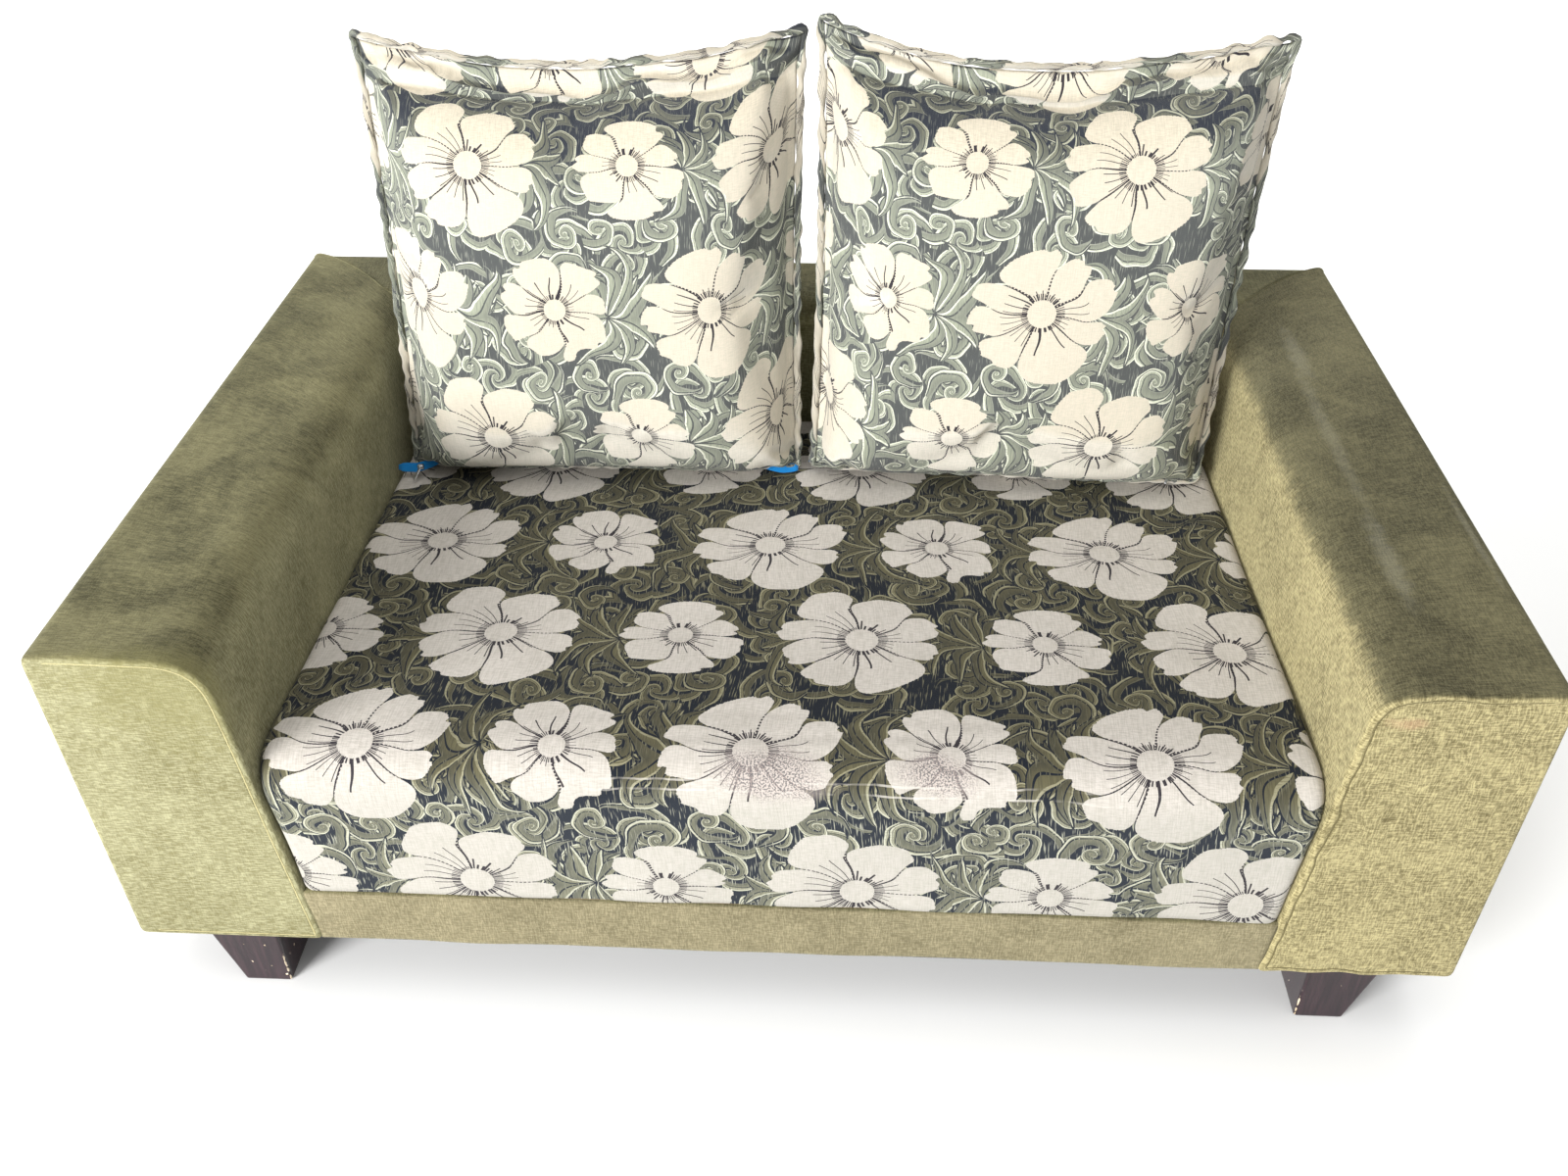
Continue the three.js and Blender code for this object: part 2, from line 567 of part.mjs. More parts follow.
function buildCushion(sideName, side) {
  const group = new THREE.Group();
  group.position.set(side * CUSHION_CENTRE_X, CUSHION_FOOT_Y, CUSHION_FOOT_Z);
  group.rotation.x = -CUSHION_LEAN;

  const w = CUSHION_HALF_WIDTH;
  const h = CUSHION_HALF_HEIGHT;
  const slitWidth = w + 2 * BEYOND;
  const slitHalf = ZIP_TAPE_THICK / 2 + ZIP_SLIT_CLEAR;
  const slitHeight = [1 - ZIP_SLIT_HALF_HEIGHT, 1 + ZIP_SLIT_HALF_HEIGHT];
  const slit = box([-slitWidth, slitWidth], [-slitHalf, slitHalf], slitHeight);
  const cover = subtract(
    pillow(side, w, h, CUSHION_FRONT_BULGE, CUSHION_REAR_BULGE, CUSHION_RIM),
    pillow(
      side,
      w - CUSHION_SEAM,
      h - CUSHION_SEAM,
      CUSHION_FRONT_BULGE - CUSHION_CLOTH,
      CUSHION_REAR_BULGE - CUSHION_CLOTH,
      CUSHION_RIM - CUSHION_RIM_CLOTH,
    ),
    slit,
  );
  addPart(group, `${sideName}_cushion_cover`, cover, 'jacquard');
  const fill = pillow(
    side,
    w - FILL_SLACK,
    h - FILL_SLACK,
    CUSHION_FRONT_BULGE - FILL_THINNER,
    CUSHION_REAR_BULGE - FILL_THINNER,
    CUSHION_RIM - FILL_RIM_THINNER,
  );
  addPart(group, `${sideName}_cushion_fill`, fill, 'fill');
  addPart(group, `${sideName}_cushion_piping`, rimPiping(side), 'jacquard');

  const span = (a, b) => [Math.min(side * a, side * b), Math.max(side * a, side * b)];
  const tape = box(
    span(-w - ZIP_INNER_END, w + ZIP_OUTER_END),
    [-ZIP_TAPE_THICK / 2, ZIP_TAPE_THICK / 2],
    [ZIP_TAPE_LOW, ZIP_TAPE_HIGH],
  );
  addPart(group, `${sideName}_zip_tape`, tape, 'zip_tape');
  const slider = subtract(
    box(
      span(w + CUSHION_RIM, w + ZIP_OUTER_END - 1),
      [-ZIP_TAPE_THICK / 2 - ZIP_SLIDER_REAR, ZIP_SLIDER_FRONT],
      [ZIP_SLIDER_LOW, ZIP_SLIDER_HIGH],
    ),
    box(
      span(w, w + ZIP_OUTER_END + LOOSE),
      [-BEYOND, ZIP_TAPE_THICK / 2 + GAP],
      [ZIP_TAPE_LOW - LOOSE, ZIP_TAPE_HIGH + LOOSE],
    ),
  );
  addPart(group, `${sideName}_zip_slider`, slider, 'steel');
  return group;
}

sofa.add(buildSeatFrame(), buildSeat(), buildBack(), buildFeet());
for (const [sideName, side] of [['left', -1], ['right', 1]]) {
  sofa.add(buildArm(sideName, side), buildCushion(sideName, side));
}

export default sofa;
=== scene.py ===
# %% [markdown]
# # A worn two-seat sofa
# The real sofa is a timber box with foam and cloth pulled over it. Two slab arms and a low back wear olive
# chenille. The seat and the two loose pillows wear a woven floral jacquard. The plain solids of the frame say
# where everything is. This script lays the cloth over them, and gives each hidden board its own material.

import json
import math

import bmesh
import bpy
import numpy as np
from mathutils import Matrix, Vector


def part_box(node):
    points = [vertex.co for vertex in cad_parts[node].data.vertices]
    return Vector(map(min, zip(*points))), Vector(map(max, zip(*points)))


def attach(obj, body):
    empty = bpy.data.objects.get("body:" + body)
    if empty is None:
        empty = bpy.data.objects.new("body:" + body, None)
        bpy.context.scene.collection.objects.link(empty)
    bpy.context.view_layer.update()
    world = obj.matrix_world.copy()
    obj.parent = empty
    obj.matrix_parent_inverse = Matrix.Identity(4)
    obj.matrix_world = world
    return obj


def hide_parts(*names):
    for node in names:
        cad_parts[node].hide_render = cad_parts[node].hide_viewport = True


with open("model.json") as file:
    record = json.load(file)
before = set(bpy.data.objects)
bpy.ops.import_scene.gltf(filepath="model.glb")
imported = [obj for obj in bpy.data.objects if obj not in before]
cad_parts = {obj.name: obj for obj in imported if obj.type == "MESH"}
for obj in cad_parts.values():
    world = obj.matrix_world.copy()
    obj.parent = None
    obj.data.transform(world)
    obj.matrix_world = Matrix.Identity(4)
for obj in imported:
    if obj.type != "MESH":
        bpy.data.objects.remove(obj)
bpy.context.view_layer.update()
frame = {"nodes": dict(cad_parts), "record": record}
print("frame loaded:", len(frame["nodes"]), "solids")

# %% [markdown]
# ## The eye
# The sofa is seen from head height, close up and with a short lens, which makes the arms fan out towards
# the viewer. Two turns and a small tilt aim the camera, and the lens follows from its angle of view.

# %% Camera
EYE = np.array([0.0538, -1.4595, 1.4128])
YAW = -0.0512
PITCH = 0.6618
TILT = -0.0077
LENS = 31.95


def aim(yaw, pitch, tilt):
    """Three axes of a camera: forward from yaw and pitch, right level with the floor, both turned by tilt."""
    forward = np.array([math.sin(yaw) * math.cos(pitch), math.cos(yaw) * math.cos(pitch), -math.sin(pitch)])
    right = np.array([math.cos(yaw), -math.sin(yaw), 0.0])
    up = np.cross(right, forward)
    turned_right = math.cos(tilt) * right + math.sin(tilt) * up
    turned_up = -math.sin(tilt) * right + math.cos(tilt) * up
    return turned_right, turned_up, -forward


camera_data = bpy.data.cameras.new("eye")
camera_data.lens = LENS
camera_data.sensor_width = 36.0
camera = bpy.data.objects.new("eye", camera_data)
bpy.context.scene.collection.objects.link(camera)
axes = np.array(aim(YAW, PITCH, TILT)).T.tolist()
rows = [[*row, place] for row, place in zip(axes, EYE.tolist())]
camera.matrix_world = Matrix([*rows, [0, 0, 0, 1]])
bpy.context.scene.camera = camera
print("camera at", EYE, "lens", LENS)

# %% [markdown]
# ## Measures from the frame
# Each new surface starts from the boxes of the solids that it stands for, so that nothing has to be fitted
# by eye. The walls are a wedge: 214 mm thick at the floor edge, 185 mm at the shoulder.

# %% Boxes of the main solids
MM = 0.001
arm_low, arm_high = (np.array(v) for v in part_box("right_arm_cover"))
back_low, back_high = (np.array(v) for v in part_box("back_cover"))
seat_low, seat_high = (np.array(v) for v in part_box("seat_cover"))
rail_low, rail_high = (np.array(v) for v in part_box("front_rail_cover"))
OUTER_X = arm_high[0]
FRONT_Y = arm_low[1]
BACK_Y = back_high[1]
UNDER_Z = arm_low[2]
TOP_Z = arm_high[2]
FOOT_THICK = OUTER_X - arm_low[0]
SHOULDER_THICK = 185 * MM
SHOULDER_Z = 475 * MM
TOP_FLAT = 131 * MM
BACK_SHARE = 150 / 185
print("arm box", arm_low, arm_high)


def wall_thickness(z):
    """Thickness of an arm at height z: straight from the floor edge to the shoulder."""
    along = (z - UNDER_Z) / (SHOULDER_Z - UNDER_Z)
    return FOOT_THICK + (SHOULDER_THICK - FOOT_THICK) * along


# %% [markdown]
# ## Tools for surfaces
# Upholstery is a few cut panels sewn along seams. Here each panel is a grid of points worked out with numpy
# together with its place on the cloth, and panels are welded where their seams meet. The cloth place goes
# into a UV map in metres, so a woven pattern bends over an edge as real cloth does.

# %% Grid meshes
def even_noise(points, scale, seed):
    """Smooth noise from -1 to 1 at points: sums of sine waves in eight random directions."""
    rng = np.random.default_rng(seed)
    total = np.zeros(points.shape[:-1])
    for _ in range(8):
        direction = rng.normal(size=points.shape[-1])
        direction *= (0.6 + 0.8 * rng.random()) / (scale * np.linalg.norm(direction))
        total += np.sin(points @ direction * math.tau + rng.random() * math.tau)
    return total / 4.0


def step_up(low, high, x):
    """0 below low, 1 above high, and 3t^2 - 2t^3 between."""
    t = np.clip((np.asarray(x) - low) / (high - low), 0.0, 1.0)
    return t * t * (3.0 - 2.0 * t)


def grid_faces(rows, columns):
    """Corner numbers of the four-sided faces of a rows x columns grid of points."""
    corner = (np.arange(rows - 1)[:, None] * columns + np.arange(columns - 1)).ravel()
    return np.stack([corner, corner + 1, corner + columns + 1, corner + columns], 1)


def write_mesh(name, points, faces, cloth):
    """A mesh from points (n,3), faces (m,4) and the cloth place of every face corner (4m,2)."""
    mesh = bpy.data.meshes.new(name)
    mesh.vertices.add(len(points))
    mesh.vertices.foreach_set("co", points.astype(np.float32).ravel())
    mesh.loops.add(faces.size)
    mesh.loops.foreach_set("vertex_index", faces.astype(np.int32).ravel())
    mesh.polygons.add(len(faces))
    mesh.polygons.foreach_set("loop_start", np.arange(0, faces.size, 4, dtype=np.int32))
    mesh.update(calc_edges=True)
    layer = mesh.uv_layers.new(name="cloth")
    layer.data.foreach_set("uv", cloth.astype(np.float32).ravel())
    mesh.polygons.foreach_set("use_smooth", np.ones(len(faces), bool))
    piece = bpy.data.objects.new(name, mesh)
    bpy.context.scene.collection.objects.link(piece)
    return piece


def sewn(name, panels):
    """One closed piece from panels, each (points, cloth) on a grid, welded where their edges meet."""
    points = []
    faces = []
    cloth = []
    start = 0
    for grid, places in panels:
        rows, columns = grid.shape[:2]
        numbers = grid_faces(rows, columns)
        points.append(grid.reshape(-1, 3))
        cloth.append(places.reshape(-1, 2)[numbers.ravel()])
        faces.append(numbers + start)
        start += rows * columns
    piece = write_mesh(name, np.concatenate(points), np.concatenate(faces), np.concatenate(cloth))
    welded = bmesh.new()
    welded.from_mesh(piece.data)
    bmesh.ops.remove_doubles(welded, verts=welded.verts, dist=2e-6)
    bmesh.ops.recalc_face_normals(welded, faces=welded.faces)
    welded.to_mesh(piece.data)
    welded.free()
    return piece


def dress(piece, material, slot, *nodes, fill=None):
    """Gives a piece its material, body and the solids that it stands for. The record slot is not used."""
    piece.data.materials.clear()
    piece.data.materials.append(material)
    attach(piece, "root")
    if nodes:
        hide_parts(*nodes)
    return piece


# %% Outlines and blocks
def rounded_outline(corners, radii, step):
    """A closed outline at even steps. Near each corner C it follows (1-t)^2 A + 2t(1-t) C + t^2 B,
    where A and B lie one radius before and after the corner."""
    corner = np.array(corners, float)
    before = np.roll(corner, 1, 0) - corner
    after = np.roll(corner, -1, 0) - corner
    radius = np.array(radii, float)[:, None]
    first = corner + before / np.linalg.norm(before, axis=1)[:, None] * radius
    last = corner + after / np.linalg.norm(after, axis=1)[:, None] * radius
    t = np.linspace(0, 1, 13)[None, :, None]
    bends = (1 - t) ** 2 * first[:, None] + 2 * t * (1 - t) * corner[:, None] + t**2 * last[:, None]
    path = bends.reshape(-1, 2)
    path = np.vstack([path, path[:1]])
    length = np.concatenate([[0], np.cumsum(np.linalg.norm(np.diff(path, axis=0), axis=1))])
    keep = np.concatenate([[True], np.diff(length) > 1e-9])
    count = int(round(length[-1] / step))
    even = np.linspace(0, length[-1], count + 1)
    return np.stack([np.interp(even, length[keep], path[keep, k]) for k in range(2)], 1)


def drawn_in(outline, amount):
    """The outline moved inwards by amount, square to its own direction."""
    ahead = np.roll(outline[:-1], -1, 0) - np.roll(outline[:-1], 1, 0)
    ahead /= np.linalg.norm(ahead, axis=1)[:, None]
    area = np.sum(outline[:-1, 0] * outline[1:, 1] - outline[1:, 0] * outline[:-1, 1])
    inward = np.stack([-ahead[:, 1], ahead[:, 0]], 1) * np.sign(area)
    moved = outline[:-1] + inward * np.asarray(amount)
    return np.vstack([moved, moved[:1]])


def edge_stations(first, last, radius, step, steps=6):
    """Places along a block and how far its outline is drawn in there: a quarter circle at each end."""
    turn = np.linspace(0, math.pi / 2, steps + 1)
    near = np.stack([first + radius * (1 - np.sin(turn)), radius * (1 - np.cos(turn))], 1)[::-1]
    far = np.stack([last - radius * (1 - np.sin(turn)), radius * (1 - np.cos(turn))], 1)
    count = max(2, int((last - first - 2 * radius) / step))
    middle = np.stack([np.linspace(first + radius, last - radius, count + 1), np.zeros(count + 1)], 1)[1:-1]
    return np.vstack([near, middle, far])


SEAM_RINGS = np.array([0.0, 1.0, 2.0, 3.0, 4.0, 5.0, 7.0, 10.0]) * MM


def block(outline, stations, place, cap_step, seam=None):
    """Panels of a block: the outline (a, b) carried to every station c, and a cap of rings that shrink to
    the middle at each end. place turns arrays of a, b, c into points. seam lifts the cap along c near
    its rim: seam(distance from the rim, the rim's a) in metres, on close rings that can show it."""
    rings = np.stack([drawn_in(outline, inset) for _, inset in stations])
    along = np.repeat(stations[:, 0, None], outline.shape[0], 1)
    around = np.concatenate([[0], np.cumsum(np.linalg.norm(np.diff(outline, axis=0), axis=1))])
    cloth = np.stack([np.broadcast_to(around, along.shape), along], -1)
    panels = [(place(rings[..., 0], rings[..., 1], along), cloth)]
    for end, outward in ((0, -1.0), (-1, 1.0)):
        rim = rings[end]
        middle = (rim[:-1].min(0) + rim[:-1].max(0)) / 2
        reach = np.linalg.norm(rim - middle, axis=1).min()
        fine = SEAM_RINGS if seam else np.zeros(1)
        count = max(3, int((reach - fine[-1]) / cap_step))
        share = np.concatenate([fine / reach, np.linspace(fine[-1] / reach, 1.0, count + 1)[1:]])
        grid = middle + (rim - middle) * (1 - share)[:, None, None]
        lift = seam((share * reach)[:, None], rim[None, :, 0]) if seam else np.zeros(grid.shape[:2])
        level = along[end] + outward * lift
        panels.append((place(grid[..., 0], grid[..., 1], level), grid.copy()))
    return panels


print("rings of a cap near a seam, in metres:", SEAM_RINGS)

# %% [markdown]
# ## Tools for materials
# A woven picture is a formula: at every point of the cloth it says which yarn lies on top. Written as plain
# sums and products it is easy to read, so a small class turns such a formula into Math nodes.

# %% Numbers on a surface
class Field:
    """A number at every point of a surface. Arithmetic on it adds Math nodes to its node tree."""

    def __init__(self, tree, socket):
        self.tree = tree
        self.socket = socket

    def math(self, operation, *values, flip=False):
        """One Math node of self and the other values, in that order, or reversed with flip."""
        node = self.tree.nodes.new("ShaderNodeMath")
        node.operation = operation
        terms = [self, *values]
        for socket, term in zip(node.inputs, reversed(terms) if flip else terms):
            wire(self.tree, term, socket)
        return Field(self.tree, node.outputs[0])

    def __add__(self, other):
        return self.math("ADD", other)

    def __sub__(self, other):
        return self.math("SUBTRACT", other)

    def __rsub__(self, other):
        return self.math("SUBTRACT", other, flip=True)

    def __mul__(self, other):
        return self.math("MULTIPLY", other)

    def __truediv__(self, other):
        return self.math("DIVIDE", other)

    def __lt__(self, other):
        return self.math("LESS_THAN", other)

    def __gt__(self, other):
        return self.math("GREATER_THAN", other)

    def __abs__(self):
        return self.math("ABSOLUTE")

    __radd__ = __add__
    __rmul__ = __mul__

    def ramp(self, low, high):
        """0 at low, 1 at high, smooth between. low may be above high."""
        node = self.tree.nodes.new("ShaderNodeMapRange")
        node.interpolation_type = "SMOOTHSTEP"
        wire(self.tree, self, node.inputs["Value"])
        wire(self.tree, low, node.inputs["From Min"])
        wire(self.tree, high, node.inputs["From Max"])
        return Field(self.tree, node.outputs["Result"])


def wire(tree, value, socket):
    """Links a field to a socket, or sets a plain value on it."""
    if isinstance(value, Field):
        tree.links.new(value.socket, socket)
    else:
        socket.default_value = value


# %% Nodes with a name
def parts_of(tree, vector):
    """The x, y and z fields of a vector output."""
    node = tree.nodes.new("ShaderNodeSeparateXYZ")
    tree.links.new(vector, node.inputs[0])
    return [Field(tree, output) for output in node.outputs]


def joined(tree, x, y, z=0.0):
    """A vector output made of three fields or numbers."""
    node = tree.nodes.new("ShaderNodeCombineXYZ")
    for value, socket in zip((x, y, z), node.inputs):
        wire(tree, value, socket)
    return node.outputs[0]


def noise(tree, vector, scale, detail=2.0, rough=0.5, dimensions="3D", warp=0.0):
    """Smooth noise from 0 to 1 along a vector output."""
    node = tree.nodes.new("ShaderNodeTexNoise")
    node.noise_dimensions = dimensions
    tree.links.new(vector, node.inputs["Vector"])
    node.inputs["Scale"].default_value = scale
    node.inputs["Detail"].default_value = detail
    node.inputs["Roughness"].default_value = rough
    node.inputs["Distortion"].default_value = warp
    return Field(tree, node.outputs["Fac"])


def tint(tree, amount, first, second):
    """A colour output that goes from first to second with amount."""
    node = tree.nodes.new("ShaderNodeMix")
    node.data_type = "RGBA"
    wire(tree, amount, node.inputs[0])
    for value, socket in ((first, node.inputs[6]), (second, node.inputs[7])):
        if isinstance(value, tuple):
            socket.default_value = (*value, 1.0)
        else:
            tree.links.new(value, socket)
    return node.outputs[2]


# %% Materials
def new_material(name, **constants):
    """A material with one Principled shader, whose plain numbers are set on its own sockets."""
    material = bpy.data.materials.new(name)
    material.use_nodes = True
    tree = material.node_tree
    shader = next(n for n in tree.nodes if n.type == "BSDF_PRINCIPLED")
    for socket, value in constants.items():
        shader.inputs[socket.replace("_", " ")].default_value = value
    return material, tree, shader


def cloth_map(tree):
    """The piece's own cloth coordinates, in metres."""
    node = tree.nodes.new("ShaderNodeUVMap")
    node.uv_map = "cloth"
    return node.outputs["UV"]


def own_place(tree):
    """Place in the sofa's frame, in metres."""
    return tree.nodes.new("ShaderNodeTexCoord").outputs["Object"]


def raised(tree, height, shader, depth):
    """Bump of depth metres from a height field, on the shader's normal."""
    node = tree.nodes.new("ShaderNodeBump")
    node.inputs["Strength"].default_value = 1.0
    node.inputs["Distance"].default_value = depth
    wire(tree, height, node.inputs["Height"])
    tree.links.new(node.outputs["Normal"], shader.inputs["Normal"])


print("material tools:", new_material.__name__, tint.__name__, noise.__name__, raised.__name__)

# %% [markdown]
# ## The floral weave
# The jacquard has large and small flowers in staggered rows over curling leaves. A picture of such a cloth
# would be the quick way, but a formula stays sharp at any size and copies nobody's print. Every flower owns
# one tile, a quarter of the repeat. Inside a tile the distance from the middle and the angle are enough to
# draw petals: the angle, bent a little, is cut into seven or eight unequal petals, each with its own length.

# %% Measures of the pattern
REPEAT_WIDE = 0.418
REPEAT_TALL = 0.38
LARGE_FLOWER = 0.097
SMALL_FLOWER = 0.075
SPRAY_ACROSS = -0.034
SPRAY_UP = 0.004
PETAL_ARC = math.tau / 7.6


def chance_of(tree, first, second):
    """Three random numbers that depend only on two given ones."""
    chance = tree.nodes.new("ShaderNodeTexWhiteNoise")
    chance.noise_dimensions = "2D"
    tree.links.new(joined(tree, first, second), chance.inputs["Vector"])
    apart = tree.nodes.new("ShaderNodeSeparateColor")
    tree.links.new(chance.outputs["Color"], apart.inputs[0])
    return [Field(tree, output) for output in apart.outputs]


print("repeat of the weave:", REPEAT_WIDE, "by", REPEAT_TALL, "m")


# %% Petals and their ink
def flower(tree, x, y, seed, small, jitter):
    """Masks of the cream petals and of the dark ink on them. x and y are shares of the flower's size. A petal
    reaches length * (1 - rounding), and rounding grows with the distance from the petal's own middle line.
    Ink fills the gaps between petals, two veins on each and a short fringe round the disc."""
    bend = noise(tree, joined(tree, x + seed * 5.0, y), 1.5, 0.0, dimensions="2D") - 0.5
    radius = (x * x + y * y).math("SQRT")
    angle = y.math("ARCTAN2", x) * (1 / math.tau) + seed * 0.137
    petals = 8.0 - small
    wave = (angle * (2 * math.tau) + seed * 2.3).math("SINE") * (0.19 + 0.12 * radius)
    ripple = (angle * (3 * math.tau) + seed * 4.1).math("SINE") * (0.2 - 0.16 * radius)
    turn = angle * petals + wave + ripple + bend * 0.8 * radius.ramp(0.15, 0.8) + 16.0
    which = turn.math("FLOOR").math("FLOORED_MODULO", petals)
    luck, other, third = chance_of(tree, which + 0.5, seed)
    share = turn.math("FRACT")
    aside = abs(share * 2.0 - 1.0)
    length = luck * 0.15 + 0.88
    notch = abs(share - 0.5 - (other - 0.5) * 0.36).ramp(0.13, 0.0) * (third > 0.45) * 0.055
    scallop = (share * 15.0 + other * 9.0).math("SINE") * 0.012
    rounding = aside.math("POWER", 2.3) * 0.15 + aside.math("POWER", 7.0) * 0.20
    edge = length * (1.0 - rounding) - notch + scallop + jitter * 0.03
    beyond = radius > 0.195 + jitter * 0.03
    weight = radius.ramp(0.95, 0.2) * 0.004 + 0.0085
    gap = share.math("MINIMUM", 1.0 - share) * PETAL_ARC * radius
    between = (gap + jitter * 0.008 < weight) * beyond
    thirds = (share * 3.0 + other * 0.6 + (radius - 0.3) * (luck - 0.5) * 0.8).math("FRACT") - 0.5
    vein = (abs(thirds) * (PETAL_ARC / 3) * radius < 0.0065) * beyond * (radius < 0.30 + 0.34 * luck)
    fringe = abs((share * 7.0 + luck * 3.0).math("FRACT") - 0.5) * (PETAL_ARC / 7) * radius < 0.0065
    fringe = fringe * beyond * (radius < 0.235 + 0.09 * third)
    stitches = ((radius * 130.0).math("SINE") > -0.45).math("MAXIMUM", other < 0.55)
    ink = (between * stitches).math("MAXIMUM", vein).math("MAXIMUM", fringe)
    return radius < edge, ink


print("flower sizes:", LARGE_FLOWER, SMALL_FLOWER, "m from middle to tip")

# %% [markdown]
# Two kinds of leaves fill the ground. A spray is a fan of long leaves beside a flower. A scroll is a spiral
# round a scattered centre, because an acanthus scroll is a band that winds by equal ratios. Each leaf is
# shaded from one side to the other and has a pale edge, which makes flat yarn look curled.

# %% Sprays and scrolls
SCROLLS_PER_METRE = 15.0
SCROLL_BROAD = 0.27
SCROLL_EYE = 0.0042


def spray(tree, out, up, salt, lanes, longest, broad, offset):
    """A fan of leaves round the point where out and up are zero. Each leaf keeps to a lane of angle that
    curves away from the middle. Along its lane it swells and ends in a point. Returns three masks: the leaf,
    its pale edge and an outline round it."""
    far = (out * out + up * up).math("SQRT")
    around = up.math("ARCTAN2", out) * (1 / math.tau)
    side = around.math("SIGN")
    lane = (around - side * (far / 0.08).math("POWER", 1.7) * 0.12) * lanes + offset
    first, second, _ = chance_of(tree, lane.math("FLOOR") + 0.5, salt)
    along = far / (longest * (0.6 + 0.4 * first))
    off_axis = (lane.math("FRACT") - 0.5) * far * (math.tau / lanes)
    swell = (1.0 - along.math("POWER", 2.6)).math("MAXIMUM", 0.0).math("POWER", 0.6)
    half = (swell * broad).math("MINIMUM", far * (0.47 * math.tau / lanes))
    open_side = (abs(around) < 0.33 + 0.05 * second) * (along < 1.0)
    inside = (abs(off_axis) < half) * open_side
    outline = (abs(off_axis) < half + 0.0022) * (abs(around) < 0.36) * (along < 1.05)
    edge_light = ((half - off_axis * side) < 0.0021).math("MAXIMUM", (half + off_axis * side) < 0.0012)
    groove = abs(off_axis) < 0.0009
    shade = (off_axis * side / (half + 0.0001)).ramp(-1.0, 0.7) * 0.5 + 0.5
    return inside * (1.0 - groove) * shade, edge_light, outline


def scroll(tree, plane_x, plane_y, offset, randomness, reach_low, reach_more, pitch, arms):
    """Bands that wind round scattered centres as equal-ratio spirals and thin out to a tail. With three arms
    they are comma-shaped leaves. Returns the same three masks as spray."""
    cells = tree.nodes.new("ShaderNodeTexVoronoi")
    cells.voronoi_dimensions = "2D"
    cells.inputs["Scale"].default_value = SCROLLS_PER_METRE
    cells.inputs["Randomness"].default_value = randomness
    moved = plane_x + offset
    tree.links.new(joined(tree, moved, plane_y), cells.inputs["Vector"])
    centre_x, centre_y, _ = parts_of(tree, cells.outputs["Position"])
    dx = moved - centre_x
    dy = plane_y - centre_y
    mixed = tree.nodes.new("ShaderNodeSeparateColor")
    tree.links.new(cells.outputs["Color"], mixed.inputs[0])
    one, two, _ = (Field(tree, output) for output in mixed.outputs)
    way = (one > 0.5) * 2.0 - 1.0
    far = (dx * dx + dy * dy).math("SQRT")
    around = dy.math("ARCTAN2", dx) * way * (1 / math.tau)
    reach = reach_low + two * reach_more
    grown = (far / reach).math("LOGARITHM", math.e)
    coil = (around * arms + grown * pitch + two * 5.0).math("FRACT") - 0.5
    thick = SCROLL_BROAD * far.ramp(reach * 1.6, reach * 0.55) + 0.03
    near = far < reach * 1.6
    band = ((abs(coil) < thick) * near).math("MAXIMUM", far < SCROLL_EYE)
    edge_light = (thick - coil).math("COMPARE", 0.04, 0.04).math("MAXIMUM", (thick + coil) < 0.03)
    rib = (abs(coil - thick * 0.45) < 0.016) * 0.7
    groove = abs(coil - thick * 0.1) < 0.022
    shade = (coil / thick).ramp(-1.0, 0.6) * 0.5 + 0.5
    outline = (abs(coil) < thick + 0.05) * near
    return band * (1.0 - groove) * shade, edge_light.math("MAXIMUM", rib) * (far > SCROLL_EYE), outline


print("scrolls:", SCROLLS_PER_METRE, "cells to the metre")


